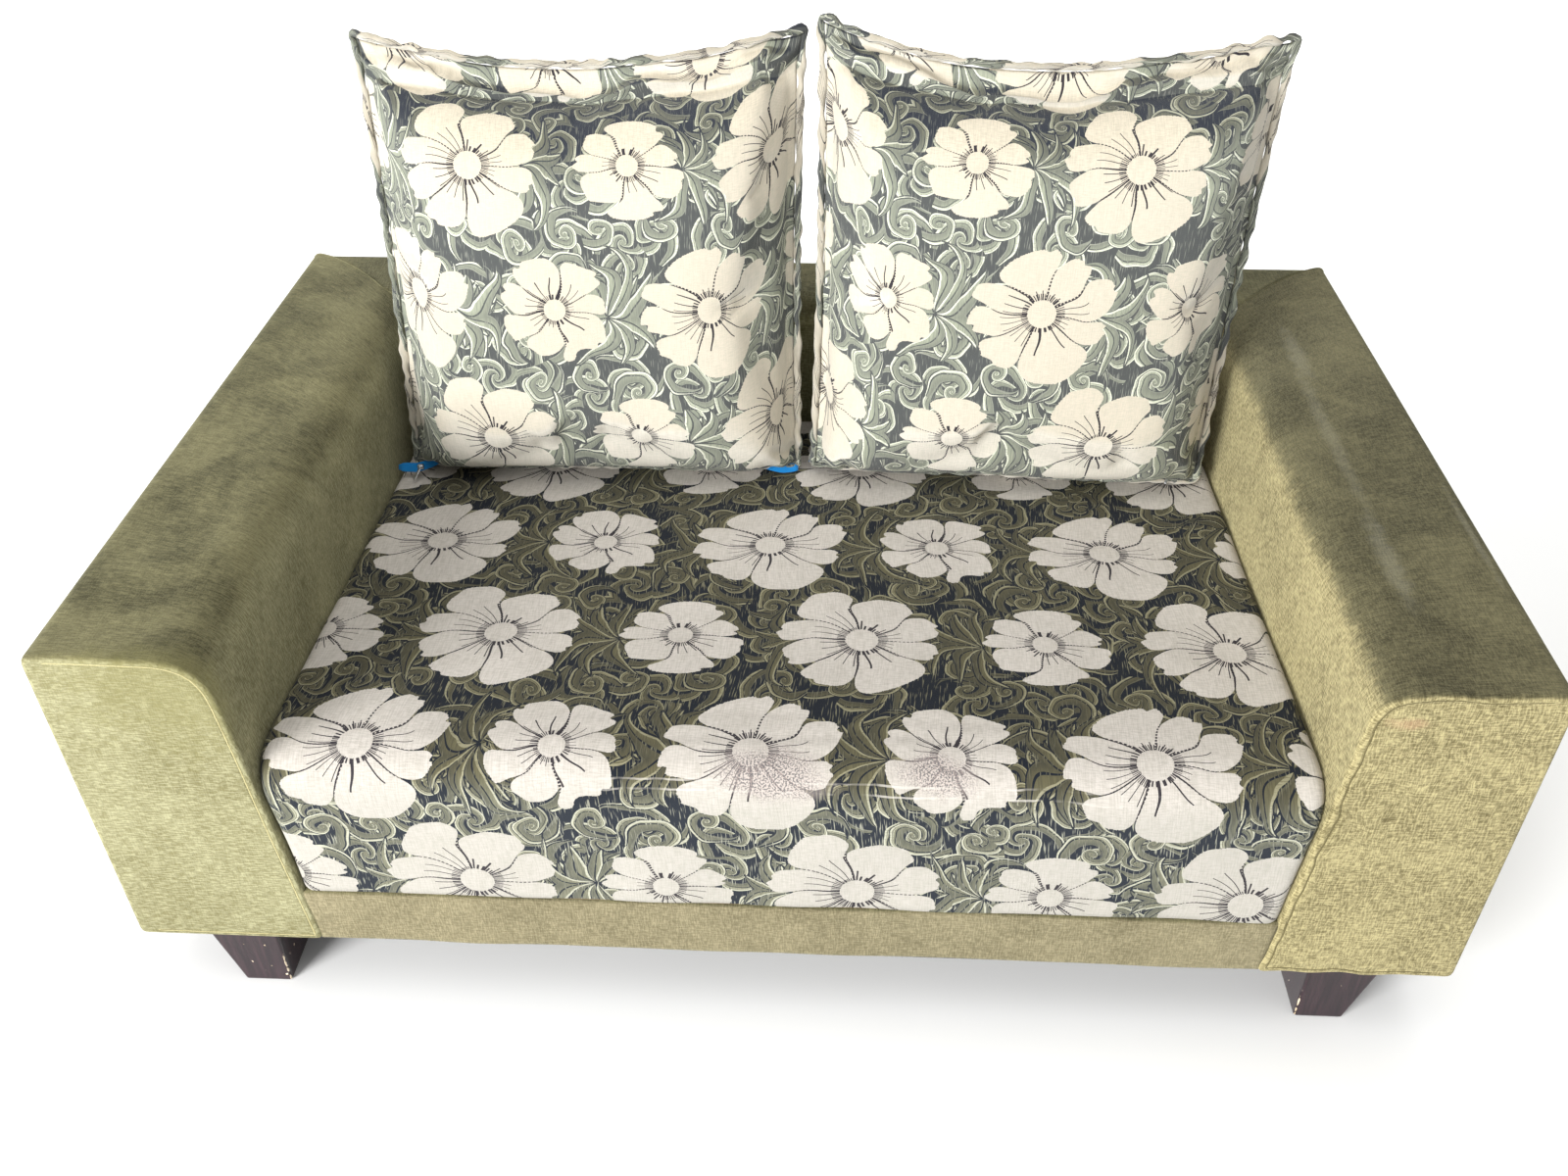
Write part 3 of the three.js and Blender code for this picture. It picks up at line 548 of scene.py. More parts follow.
# %% The whole drawing
def floral_drawing():
    """A node group: from the cloth place to four masks. petal is cream yarn, ink the dark drawing on it,
    leaf the green yarn and light the pale edge of a leaf. hand is 1 for sprays that open to the right."""
    tree = bpy.data.node_groups.new("floral_drawing", "ShaderNodeTree")
    tree.interface.new_socket("cloth", in_out="INPUT", socket_type="NodeSocketVector")
    tree.interface.new_socket("hand", in_out="INPUT", socket_type="NodeSocketFloat")
    for name in ("petal", "ink", "leaf", "light"):
        tree.interface.new_socket(name, in_out="OUTPUT", socket_type="NodeSocketFloat")
    given = tree.nodes.new("NodeGroupInput")
    source = given.outputs["cloth"]
    hand = Field(tree, given.outputs["hand"])
    sink = tree.nodes.new("NodeGroupOutput")
    across, down, _ = parts_of(tree, source)

    row_place = down * (2 / REPEAT_TALL) + 0.5
    odd_row = (row_place.math("FLOOR") * 0.5).math("FRACT") * 2.0
    tall = (row_place.math("FRACT") - 0.5) * (REPEAT_TALL / 2)
    column_place = across * (2 / REPEAT_WIDE) + odd_row * 0.5 + 0.5
    small = (column_place.math("FLOOR") * 0.5).math("FRACT") * 2.0
    wide = (column_place.math("FRACT") - 0.5) * (REPEAT_WIDE / 2)
    size = small * (SMALL_FLOWER - LARGE_FLOWER) + LARGE_FLOWER
    jitter = noise(tree, source, 420.0, 1.0, dimensions="2D") - 0.5
    petal, ink = flower(tree, wide / size, tall / size, odd_row * 1.7 + small * 3.1, small, jitter)

    def wander(scale, detail, apart):
        """Two slow noises, for across and down, that bend straight lines into drawn ones."""
        aside = noise(tree, source, scale, detail, dimensions="2D") - 0.5
        lengthwise = noise(tree, joined(tree, across + apart, down), scale, detail, dimensions="2D") - 0.5
        return aside, lengthwise

    sway, sway_down = wander(17.0, 0.0, 7.0)
    gap_wide = ((column_place + 0.5).math("FRACT") - 0.5) * (REPEAT_WIDE / 2) * hand + sway * 0.022
    out = gap_wide - SPRAY_ACROSS
    up = tall + sway_down * 0.03 - SPRAY_UP
    salt = odd_row * 3.0 + small
    long_leaves = spray(tree, out, up, salt + 7.0, 10.0, 0.086, 0.0105, 0.5)
    short_leaves = spray(tree, out, up, salt + 19.0, 10.0, 0.066, 0.0085, 0.05)

    drift, drift_down = wander(24.0, 1.0, 3.0)
    plane_x = across + drift * 0.014
    plane_y = down + drift_down * 0.014
    commas = scroll(tree, plane_x, plane_y, 1.3, 0.8, 0.032, 0.006, 1.0, 3.0)
    curls = scroll(tree, plane_x, plane_y, 5.1, 0.75, 0.019, 0.009, 0.62, 1.0)

    leaf, light, _ = commas
    for over_leaf, over_light, outline in (curls, short_leaves, long_leaves):
        clear = 1.0 - outline
        leaf = over_leaf.math("MAXIMUM", leaf * clear)
        light = (over_light * over_leaf).math("MAXIMUM", light * clear)
    for value, name in ((petal, "petal"), (ink * petal, "ink"), (leaf, "leaf"), (light * leaf, "light")):
        wire(tree, value, sink.inputs[name])
    print("floral drawing:", len(tree.nodes), "nodes")
    return tree


drawing = floral_drawing()

# %% [markdown]
# On the real cloth the same yarns look paler on the upright pillows than on the flat seat, since they catch
# the light at another angle. Two sets of yarn colours, mixed by how far the cloth faces up, paint that light
# and shade in from every side. The pale upright ground of the pillows is painted sheen, and their petals are
# painted lighter where the cloth faces down. The two rubbed spots and two pale fold lines on the seat are the
# wear of people sitting down.

# %% Yarn colours and worn places
# Painted light and shade: each upright and flat pair is one yarn as lit at two angles; the pale upright
# pillow ground is painted sheen.
PILLOW_UPRIGHT = {"ground": (0.084, 0.090, 0.088), "leaf": (0.37, 0.395, 0.30), "pale": (0.80, 0.81, 0.67),
                  "cream": (0.67, 0.605, 0.495)}
PILLOW_FLAT = {"ground": (0.024, 0.029, 0.040), "leaf": (0.18, 0.18, 0.125), "pale": (0.46, 0.46, 0.345),
               "cream": (0.68, 0.61, 0.48)}
SEAT_UPRIGHT = {"ground": (0.020, 0.025, 0.034), "leaf": (0.23, 0.23, 0.16), "pale": (0.55, 0.55, 0.44),
                "cream": (0.49, 0.465, 0.42)}
SEAT_FLAT = {"ground": (0.010, 0.013, 0.019), "leaf": (0.118, 0.107, 0.058), "pale": (0.28, 0.262, 0.165),
             "cream": (0.585, 0.545, 0.495)}
# Painted light: the palest petal colour, for pillow cloth that faces down.
LIT_BELLY_CREAM = (0.79, 0.745, 0.66)
INK = (0.035, 0.03, 0.035)
WORN_SPOTS = ((0.338, 0.215, 0.070, 0.038), (0.503, 0.210, 0.056, 0.032))
WORN_LINES = (0.224, 0.235)
print("yarns:", ", ".join(SEAT_FLAT))


# %% Jacquard cloth
def jacquard(name, hand, streaks, flat, standing, lit, sheen, worn=False):
    """Woven cloth from the floral drawing: yarn colours, warp streaks on the ground, a fine weave. The yarns
    have the flat colours where the cloth faces up and those of standing where it stands upright, past the two
    ends of lit, as painted light and shade. Unworn cloth that looks down, as on a pillow's belly, has painted
    light on its petals, which makes them the palest. Worn cloth is rubbed and speckled in its worn spots and
    pale on its fold lines."""
    material, tree, shader = new_material(name, Roughness=0.8, Sheen_Weight=sheen, Sheen_Roughness=0.5,
                                          Specular_IOR_Level=0.15)
    cloth = cloth_map(tree)
    across, down, _ = parts_of(tree, cloth)
    group = tree.nodes.new("ShaderNodeGroup")
    group.node_tree = drawing
    tree.links.new(cloth, group.inputs["cloth"])
    group.inputs["hand"].default_value = hand
    petal, dark, green, light = (Field(tree, group.outputs[key]) for key in ("petal", "ink", "leaf", "light"))
    facing = tree.nodes.new("ShaderNodeNewGeometry")
    up = parts_of(tree, facing.outputs["Normal"])[2]
    # Painted light and shade: flat and upright yarn colours mixed by how far the cloth faces up.
    upright = up.ramp(*lit)
    yarn = {key: tint(tree, upright, flat[key], standing[key]) for key in flat}
    # Painted light on the petals of cloth that faces down.
    if not worn:
        yarn["cream"] = tint(tree, up.ramp(0.3, -0.1) * 0.85, yarn["cream"], LIT_BELLY_CREAM)
    grain = noise(tree, joined(tree, across * 640.0, down * 45.0), 1.0, 1.0, dimensions="2D")
    cross = noise(tree, joined(tree, across * 90.0, down * 640.0), 1.0, 1.0, dimensions="2D")
    mottle = noise(tree, cloth, 16.0, 3.0, 0.6, dimensions="2D")
    ground_cloth = tint(tree, grain.ramp(0.6, 0.72) * streaks, yarn["ground"], yarn["pale"])
    leaf_cloth = tint(tree, grain.ramp(0.35, 0.7) * 0.35, yarn["leaf"], yarn["ground"])
    leaf_cloth = tint(tree, light * (cross.ramp(0.25, 0.5) * 0.5 + 0.4), leaf_cloth, yarn["pale"])
    colour = tint(tree, green, ground_cloth, leaf_cloth)
    linen = cross.ramp(0.35, 0.7) + grain.ramp(0.35, 0.7)
    cream_cloth = tint(tree, linen * 0.15, yarn["cream"], yarn["leaf"])
    cream_cloth = tint(tree, mottle.ramp(0.45, 0.75) * 0.07, cream_cloth, yarn["leaf"])
    cream_cloth = tint(tree, dark, cream_cloth, INK)
    colour = tint(tree, petal, colour, cream_cloth)
    if worn:
        speck = noise(tree, cloth, 520.0, 2.0, dimensions="2D")
        for centre_across, centre_down, wide, deep in WORN_SPOTS:
            gone = (((across - centre_across) * (1 / wide)).math("POWER", 2.0)
                    + ((down - centre_down) * (1 / deep)).math("POWER", 2.0)).math("SQRT")
            patch = (gone + (mottle - 0.5) * 0.9).ramp(1.0, 0.35)
            colour = tint(tree, patch * 0.5, colour, (0.56, 0.47, 0.43))
            colour = tint(tree, patch * speck.ramp(0.47, 0.57) * 0.8, colour, (0.10, 0.10, 0.105))
        used = abs(across - 0.42).ramp(0.34, 0.18) * mottle.ramp(0.35, 0.55)
        for line in WORN_LINES:
            fold = abs(down - line - (mottle - 0.5) * 0.008) < 0.0011
            colour = tint(tree, fold * used * 0.5, colour, (0.70, 0.66, 0.60))
    tree.links.new(colour, shader.inputs["Base Color"])
    weave = (across * (math.tau * 700)).math("SINE") * (down * (math.tau * 700)).math("SINE")
    raised(tree, weave * 0.35 + cross * 0.5 + grain * 0.4, shader, 0.0006)
    return material


seat_weave = jacquard("seat_weave", -1.0, 0.55, SEAT_FLAT, SEAT_UPRIGHT, (0.8, -0.2), 0.03, worn=True)
pillow_weave = jacquard("pillow_weave", 1.0, 0.2, PILLOW_FLAT, PILLOW_UPRIGHT, (0.78, 0.42), 0.12)
print("jacquard:", seat_weave.name, pillow_weave.name)

# %% [markdown]
# ## Olive chenille
# Chenille is woven from furry yarns. Light slubs run both ways, and the pile leans, so a panel seen along
# the pile looks dark and one seen against it looks pale. The dark tops of the arms are painted shade, which
# follows the direction that the surface faces. Large soft clouds are where hands have stroked it.

# %% Chenille cloth
def chenille(name, pale, deep, top, slub=1.0, cross=0.5, shaded=0.0, marks=()):
    """Furry olive cloth: clouds of two tones, with slubs along both yarns. slub is how strong they are and
    cross the share of the upright ones. Where the cloth faces up it has the top colour, painted shade, and is
    stroked across into streaks. shaded is painted shade: how much of that dark top colour goes on panels that
    face the right side of the sofa. marks are stains or painted shade: (place, size, colour, amount), each a
    soft ball in the sofa's frame."""
    material, tree, shader = new_material(name, Roughness=0.95, Sheen_Weight=0.15, Sheen_Roughness=0.5,
                                          Specular_IOR_Level=0.1)
    shader.inputs["Sheen Tint"].default_value = (0.85, 0.85, 0.6, 1.0)
    cloth = cloth_map(tree)
    place = own_place(tree)
    across, down, _ = parts_of(tree, cloth)
    facing = tree.nodes.new("ShaderNodeNewGeometry")
    rightward, _, up = parts_of(tree, facing.outputs["Normal"])
    clouds = noise(tree, place, 9.0, 4.0, 0.62, warp=0.6)
    blots = noise(tree, place, 55.0, 3.0, 0.65)
    long_slub = noise(tree, joined(tree, across * 85.0, down * 520.0), 1.0, 2.0, 0.6, dimensions="2D")
    tall_slub = noise(tree, joined(tree, across * 520.0, down * 85.0), 1.0, 2.0, 0.6, dimensions="2D")
    strokes = noise(tree, joined(tree, across * 22.0, down * 170.0), 1.0, 4.0, 0.65, dimensions="2D")
    fur = noise(tree, place, 900.0, 2.0, 0.7)
    slubs = long_slub.ramp(0.42, 0.6) * (1.0 - cross) + tall_slub.ramp(0.42, 0.6) * cross
    tone = clouds.ramp(0.3, 0.7) * 0.28 + blots.ramp(0.3, 0.7) * 0.14 + slubs * (0.62 * slub) + 0.02
    colour = tint(tree, tone, deep, pale)
    stroked = tone * 0.55 + strokes.ramp(0.25, 0.75) * 0.24 + fur.ramp(0.4, 0.7) * 0.38
    stroked = stroked + clouds.ramp(0.35, 0.65) * 0.3 - 0.22
    # Painted shade: the dark colour of cloth that faces up, mottled by strokes and fur.
    shaded_top_cloth = tint(tree, stroked, tuple(0.26 * c for c in top), tuple(1.62 * c for c in top))
    # Painted shade mask: how far the surface faces up, with a ragged edge.
    brushed = up + (blots - 0.5) * 0.5 + (strokes - 0.5) * 0.4
    colour = tint(tree, brushed.ramp(0.25, 0.85) * up.ramp(0.0, 0.3) * 0.92, colour, shaded_top_cloth)
    # Painted shade on panels that face the right side of the sofa.
    if shaded:
        colour = tint(tree, rightward.ramp(0.2, 0.9) * shaded, colour, shaded_top_cloth)
    colour = tint(tree, fur.ramp(0.35, 0.8) * 0.3, colour, tint(tree, 0.5, colour, (0.02, 0.02, 0.01)))
    for centre, size, stain, amount in marks:
        x, y, z = (((value - middle) / reach).math("POWER", 2.0)
                   for value, middle, reach in zip(parts_of(tree, place), centre, size))
        away = (x + y + z).math("SQRT")
        colour = tint(tree, (away + (blots - 0.5) * 1.1).ramp(1.0, 0.2) * amount, colour, stain)
    tree.links.new(colour, shader.inputs["Base Color"])
    raised(tree, slubs * 0.6 + fur * 0.4 + blots * 0.2, shader, 0.0008)
    return material


# %% The sofa's chenilles
olive_pale = (0.375, 0.36, 0.215)
olive_deep = (0.145, 0.13, 0.055)
# Painted shade: the dark top colour of chenille that faces up.
shaded_olive_top = (0.130, 0.119, 0.060)
STAIN = (0.52, 0.30, 0.19)
RUB = (0.55, 0.53, 0.42)
# Painted shade: a darker olive over the upper inner corner of the left arm's front panel.
left_shade_marks = (
    ((-0.60, -0.465, 0.50), (0.17, 0.04, 0.13), (0.20, 0.185, 0.075), 0.5),
)
right_marks = (
    ((0.600, -0.465, 0.49), (0.026, 0.02, 0.011), STAIN, 0.32),
    ((0.636, 0.00, 0.529), (0.013, 0.24, 0.03), RUB, 0.085),
    ((0.632, -0.25, 0.529), (0.017, 0.11, 0.03), RUB, 0.115),
    ((0.646, 0.20, 0.529), (0.016, 0.10, 0.03), RUB, 0.105),
    ((0.735, -0.20, 0.529), (0.006, 0.12, 0.02), RUB, 0.10),
)
# The left arm's panels that face right get painted shade through shaded.
left_chenille = chenille("left_chenille", olive_pale, olive_deep, shaded_olive_top, cross=0.25, shaded=0.4,
                         marks=left_shade_marks)
# The right arm's top colour is painted shade too.
right_chenille = chenille("right_chenille", (0.455, 0.395, 0.205), (0.100, 0.080, 0.033),
                          (0.080, 0.072, 0.038), slub=1.3, marks=right_marks)
rail_chenille = chenille("rail_chenille", (0.31, 0.27, 0.165), (0.12, 0.102, 0.056), shaded_olive_top)
# The back's top is painted darker still: painted shade and painted shadow of the pillows.
back_chenille = chenille("back_chenille", olive_pale, olive_deep, tuple(0.8 * c for c in shaded_olive_top))
seam_thread = chenille("seam_thread", (0.55, 0.50, 0.28), (0.42, 0.37, 0.18), (0.34, 0.31, 0.17), slub=0.6)
# Painted shade: the right seam's thread is dark to stand in for the shadow in its groove.
shaded_thread = chenille("shaded_thread", (0.19, 0.16, 0.075), (0.10, 0.082, 0.035), (0.075, 0.066, 0.032),
                       slub=0.6)
print("chenille:", left_chenille.name, right_chenille.name, rail_chenille.name, back_chenille.name)

# %% [markdown]
# ## Arms and back
# An arm is one outline, a wedge with a soft inner shoulder, carried from the front to the back. At the rear
# it meets the back in a mitre that was sewn in a slow curve. So every thread of the arm stops where the curve
# says for its own distance from the outside, and the back's threads stop at the same curve. The front is a
# flat panel. Its seam is a real groove near the rim with a thin thread lying in it, because a seam that is
# only painted on looks flat from the side.

# %% Arm and back outlines
EDGE_ROUND = 15 * MM
LOW_ROUND = 10 * MM
FLAT_DROP = TOP_FLAT * BACK_SHARE
MITRE_CURVE = 1.6
RIM_ROUND = 6 * MM
GROOVE_IN = 2 * MM
GROOVE_DEPTH = 1.2 * MM


def mitre_drop(thick):
    """How far in front of the rear face the mitre lies, at a distance thick in from an arm's outer face."""
    flat = FLAT_DROP * (np.clip(thick, 0, TOP_FLAT) / TOP_FLAT) ** MITRE_CURVE
    return flat + np.clip(thick - TOP_FLAT, 0, None) * BACK_SHARE


def mitre_thick(drop):
    """The reverse of mitre_drop."""
    flat = TOP_FLAT * (np.clip(drop, 0, FLAT_DROP) / FLAT_DROP) ** (1 / MITRE_CURVE)
    return flat + np.clip(drop - FLAT_DROP, 0, None) / BACK_SHARE


def wall_outline(share, inner_round, step):
    """Outline of a wall as (distance in from its outer face, height). share scales its thickness."""
    foot = FOOT_THICK * share
    top = wall_thickness(TOP_Z) * share
    corners = [(0, UNDER_Z), (0, TOP_Z), (top, TOP_Z), (foot, UNDER_Z)]
    radii = [LOW_ROUND, EDGE_ROUND, inner_round * share, LOW_ROUND]
    return rounded_outline(corners, radii, step)


# %% Arms
def seam_share(thick):
    """How strongly the front seam shows at a distance in from the outer face. It fades on the outer edge."""
    return step_up(3 * MM, 28 * MM, thick)


def panel_seam(depth):
    """Height of the front panel at a distance from its rim: a narrow valley where the seam is sewn in."""
    def height(distance, thick):
        return -depth * seam_share(thick) * np.exp(-((distance - GROOVE_IN) / (1.4 * MM)) ** 2)
    return height


def arm_place(side, wave, seed):
    """A function from (distance in, height, run from the front) to the sofa's frame. side is -1 for the left
    arm and 1 for the right, wave is how unevenly the front seam was pulled."""
    full = BACK_Y - FRONT_Y

    def place(thick, height, along):
        """Squeezes the run from front to back so that it ends on the mitre."""
        y = FRONT_Y + along - mitre_drop(thick) * np.clip(along / full, 0, 1)
        x = side * (OUTER_X - thick)
        points = np.stack([x, y, height], -1)
        ripple = wave * even_noise(points[..., ::2], 0.05, seed + 9) * np.exp(-along / 0.02)
        ripple = ripple * seam_share(thick)
        swell = 2.5 * MM * even_noise(points, 0.28, seed)
        inside = step_up(0.02, 0.12, thick)
        points[..., 0] += side * (swell * 0.6 * inside - 1.5 * MM * inside) + ripple
        points[..., 2] += ripple - np.abs(swell) * step_up(0.5, 0.529, height) * step_up(0.0, 0.05, thick)
        return points

    return place


def arm(name, inner_round, place):
    """One arm, from its rounded front rim to the mitre."""
    turn = np.linspace(0, math.pi / 2, 7)
    rim = np.stack([RIM_ROUND * (1 - np.sin(turn)), RIM_ROUND * (1 - np.cos(turn))], 1)[::-1]
    body = np.stack([np.linspace(RIM_ROUND, BACK_Y - FRONT_Y, 150), np.zeros(150)], 1)
    outline = wall_outline(1.0, inner_round, 5 * MM)
    stations = np.vstack([rim, body[1:]])
    return sewn(name, block(outline, stations, place, 8 * MM, seam=panel_seam(GROOVE_DEPTH)))


LEFT_ROUND = 58 * MM
RIGHT_ROUND = 46 * MM
left_place = arm_place(-1, 0.0, 11)
right_place = arm_place(1, 2.4 * MM, 23)
left_arm = arm("left_arm", LEFT_ROUND, left_place)
right_arm = arm("right_arm", RIGHT_ROUND, right_place)
dress(left_arm, left_chenille, "chenille", "left_arm_cover", "left_arm_top_foam", fill=0.9)
dress(right_arm, right_chenille, "chenille", "right_arm_cover", "right_arm_top_foam", fill=0.9)
print("arms:", len(left_arm.data.polygons), len(right_arm.data.polygons), "faces")

# %% Seam threads
CORD_SIDES = 8


def closed_cord(name, path, radius):
    """A thin cord round a closed path: at each step a circle across the path, in the plane of its normal."""
    ahead = np.roll(path, -1, 0) - np.roll(path, 1, 0)
    ahead /= np.linalg.norm(ahead, axis=1)[:, None]
    aside = np.cross(ahead, [0.0, 1.0, 0.0])
    aside /= np.linalg.norm(aside, axis=1)[:, None]
    above = np.cross(ahead, aside)
    turn = np.linspace(0, math.tau, CORD_SIDES + 1)
    across = np.cos(turn)[:, None] * aside[:, None] + np.sin(turn)[:, None] * above[:, None]
    ring = path[:, None] + radius * across
    ring = np.concatenate([ring, ring[:1]])
    walked = np.concatenate([[0], np.cumsum(np.linalg.norm(np.diff(ring[:, 0], axis=0), axis=1))])
    cloth = np.stack(np.broadcast_arrays(walked[:, None], radius * turn[None, :]), -1)
    return sewn(name, [(ring, cloth)])


THREAD_IN = RIM_ROUND + GROOVE_IN
THREAD_BACK = 1.1 * MM
for side_name, inner_round, place, radius, thread_cloth in (
    ("left", LEFT_ROUND, left_place, 1.0 * MM, seam_thread),
    # Painted shade: the right thread's dark cloth stands for its groove's shadow.
    ("right", RIGHT_ROUND, right_place, 0.8 * MM, shaded_thread),
):
    outline = wall_outline(1.0, inner_round, 3 * MM)
    inner_line = drawn_in(outline, THREAD_IN)[:-1]
    sunk = THREAD_BACK + 4 * MM * (1 - seam_share(inner_line[:, 0]))
    front_line = place(inner_line[:, 0], inner_line[:, 1], sunk)
    thread = closed_cord(f"{side_name}_front_seam", front_line, radius)
    dress(thread, thread_cloth, "chenille")
    rear_line = place(outline[:-1, 0], outline[:-1, 1], np.full(len(outline) - 1, BACK_Y - FRONT_Y))
    thread = closed_cord(f"{side_name}_mitre_seam", rear_line, 0.9 * MM)
    dress(thread, back_chenille, "chenille")
print("seam threads: 4")

# %% Back
BACK_ROUND = 56 * MM


def low_back():
    """The back: the arms' outline at a smaller scale, carried across from one mitre to the other."""
    outline = wall_outline(BACK_SHARE, BACK_ROUND, 7 * MM)
    stations = np.stack([np.linspace(-1, 1, 170), np.zeros(170)], 1)

    def place(drop, height, along):
        """along from -1 to 1 is stretched to end on the mitre at this distance from the rear face."""
        x = along * (OUTER_X - mitre_thick(drop))
        y = BACK_Y - drop
        points = np.stack([x, y, height], -1)
        swell = 2.0 * MM * even_noise(points, 0.3, 41)
        points[..., 1] += swell * step_up(0.02, 0.1, drop) * step_up(1.0, 0.9, np.abs(along))
        return points

    panels = block(outline, stations, place, 12 * MM)
    grid, cloth = panels[0]
    cloth = cloth.copy()
    cloth[..., 1] = grid[..., 0]
    return sewn("back", [(grid, cloth), *panels[1:]])


back = low_back()
dress(back, back_chenille, "chenille", "back_cover", "back_foam", "back_top_foam", fill=0.9)
print("back:", len(back.data.polygons), "faces")

# %% [markdown]
# ## Rail and seat
# The cloth on the front rail is a flat band between the arms. The seat is one fixed pad: it rises a little in
# the middle, rolls over at the front and runs down to the rail. Its sides follow the sloping arms, and its
# edges are rounded, which leaves the dark crevice that a hand can reach into.

# %% Front rail
def front_rail():
    """A band with softened edges between the arms, as wide as the gap at each height."""
    corners = [(rail_low[1], UNDER_Z), (rail_low[1], rail_high[2]),
               (rail_high[1], rail_high[2]), (rail_high[1], UNDER_Z)]
    outline = rounded_outline(corners, [5 * MM] * 4, 5 * MM)
    stations = np.stack([np.linspace(-1, 1, 181), np.zeros(181)], 1)

    def place(y, z, along):
        """Bows the face out by a millimetre or two between its ends."""
        half = OUTER_X - wall_thickness(z) - 0.6 * MM
        points = np.stack([along * half, y, z], -1)
        face = step_up(rail_high[1], rail_low[1], y)
        points[..., 1] += face * 1.2 * MM * even_noise(points, 0.2, 5)
        points[..., 2] += 1.0 * MM * even_noise(points[..., :1], 0.17, 6) * step_up(0.15, UNDER_Z, z)
        return points

    panels = block(outline, stations, place, 6 * MM)
    grid, cloth = panels[0]
    cloth = np.stack([grid[..., 0], cloth[..., 0]], -1)
    return sewn("front_rail", [(grid, cloth), *panels[1:]])


rail = front_rail()
dress(rail, rail_chenille, "chenille", "front_rail_cover", fill=0.95)
print("rail:", len(rail.data.polygons), "faces")

# %% Seat pad
SEAT_REPEAT_X = -0.338
SEAT_REPEAT_Y = -0.235
SEAT_REAR_TOP = 364 * MM
SEAT_ROLL = 60 * MM
SEAT_SIDE_ROUND = 16 * MM
WEAVE_DRIFT = 11 * MM


def seat_pad():
    """The pad's outline from front to back, carried across with rounded side edges. The cloth was laid on a
    little unevenly, so every second row of flowers lies WEAVE_DRIFT further left."""
    corners = [(seat_low[1], seat_low[2]), (seat_low[1], seat_high[2]),
               (seat_high[1], SEAT_REAR_TOP), (seat_high[1], seat_low[2])]
    outline = rounded_outline(corners, [6 * MM, SEAT_ROLL, 20 * MM, 6 * MM], 6 * MM)
    half = OUTER_X - wall_thickness(SEAT_REAR_TOP - 4 * MM)
    stations = edge_stations(-half, half, SEAT_SIDE_ROUND, 6.5 * MM)

    def place(y, z, across):
        """Fits the pad between the arms at each height, crowns it and adds the creases of use."""
        room = OUTER_X - wall_thickness(z) - 1.2 * MM
        x = across * room / half
        points = np.stack([x, y, z], -1)
        middle = 1 - (across / half) ** 2
        top = step_up(0.30, 0.36, z)
        front = step_up(seat_low[1] + 0.09, seat_low[1] + 0.02, y)
        points[..., 2] += top * (5 * MM * middle - 4 * MM)
        points[..., 2] += top * 1.6 * MM * even_noise(points[..., :2], 0.16, 31)
        run = y - seat_low[1]
        crease = np.exp(-((run - 0.062 - 0.004 * np.sin(x * 17)) / 0.006) ** 2)
        crease += 0.7 * np.exp(-((run - 0.095 - 0.005 * np.sin(x * 13 + 2)) / 0.005) ** 2)
        crease += 0.5 * np.exp(-((run - 0.035 - 0.003 * np.sin(x * 21 + 1)) / 0.005) ** 2)
        used = np.exp(-((x - 0.06) / 0.33) ** 4)
        points[..., 2] -= top * used * crease * 1.3 * MM
        points[..., 1] += front * 1.3 * MM * even_noise(points, 0.1, 33)
        return points

    panels = block(outline, stations, place, 10 * MM)
    grid, cloth = panels[0]
    around = cloth[..., 0]
    column = grid.shape[0] // 2
    nearest = np.argmin(np.abs(grid[column, :, 1] - SEAT_REPEAT_Y) + 10 * (grid[column, :, 2] < 0.3))
    down = around[0, nearest] - around
    drift = WEAVE_DRIFT * (1 - np.cos(down * math.tau / REPEAT_TALL)) / 2
    cloth = np.stack([grid[..., 0] - SEAT_REPEAT_X + drift, down], -1)
    sides = [(g, np.stack([g[..., 1] + 0.1, -g[..., 2]], -1)) for g, _ in panels[1:]]
    return sewn("seat_pad", [(grid, cloth), *sides])


seat = seat_pad()
dress(seat, seat_weave, "jacquard", "seat_cover", "seat_foam", fill=0.85)
print("seat:", len(seat.data.polygons), "faces")

# %% [markdown]
# ## The loose pillows
# A pillow is two flat panels sewn round their rim and stuffed. The filling pulls the sides in, leaves pointed
# empty corners and gathers the cloth along the seam. Its top edge is only half filled, so the front panel
# falls back to a crease and the empty hem stands up behind it. The plain shape comes from a formula. Then the
# cloth is inflated: the simulation knows the panels' flat size, which is a little larger than the shape, and
# the spare cloth has to buckle into the small wrinkles of a real cover.

# %% Pillow shape
PILLOW_FOOT = np.array([274, 130, 381.5]) * MM
PILLOW_LEAN = math.radians(20)
PILLOW_GRID = 93
HEM = 0.81
HEM_FALL = 30 * MM
FRONT_BELLY = 80 * MM
REAR_BELLY = 108 * MM
PULL_IN = 0.014
CRUMPLE = 7 * MM


def leaned(points, side, droop):
    """From the pillow's own frame to the sofa's: leaned back about its foot, then set on the seat. droop lets
    the belly hang down to the seat instead of turning up with the lean."""
    x, y, z = points[..., 0], points[..., 1], points[..., 2]
    belly = 1.15 * np.clip(-y, 0, None) * math.sin(PILLOW_LEAN) * droop
    turned = np.stack([x, y * math.cos(PILLOW_LEAN) + z * math.sin(PILLOW_LEAN),
                       -y * math.sin(PILLOW_LEAN) + z * math.cos(PILLOW_LEAN) - belly], -1)
    return turned + PILLOW_FOOT * np.array([side, 1, 1])


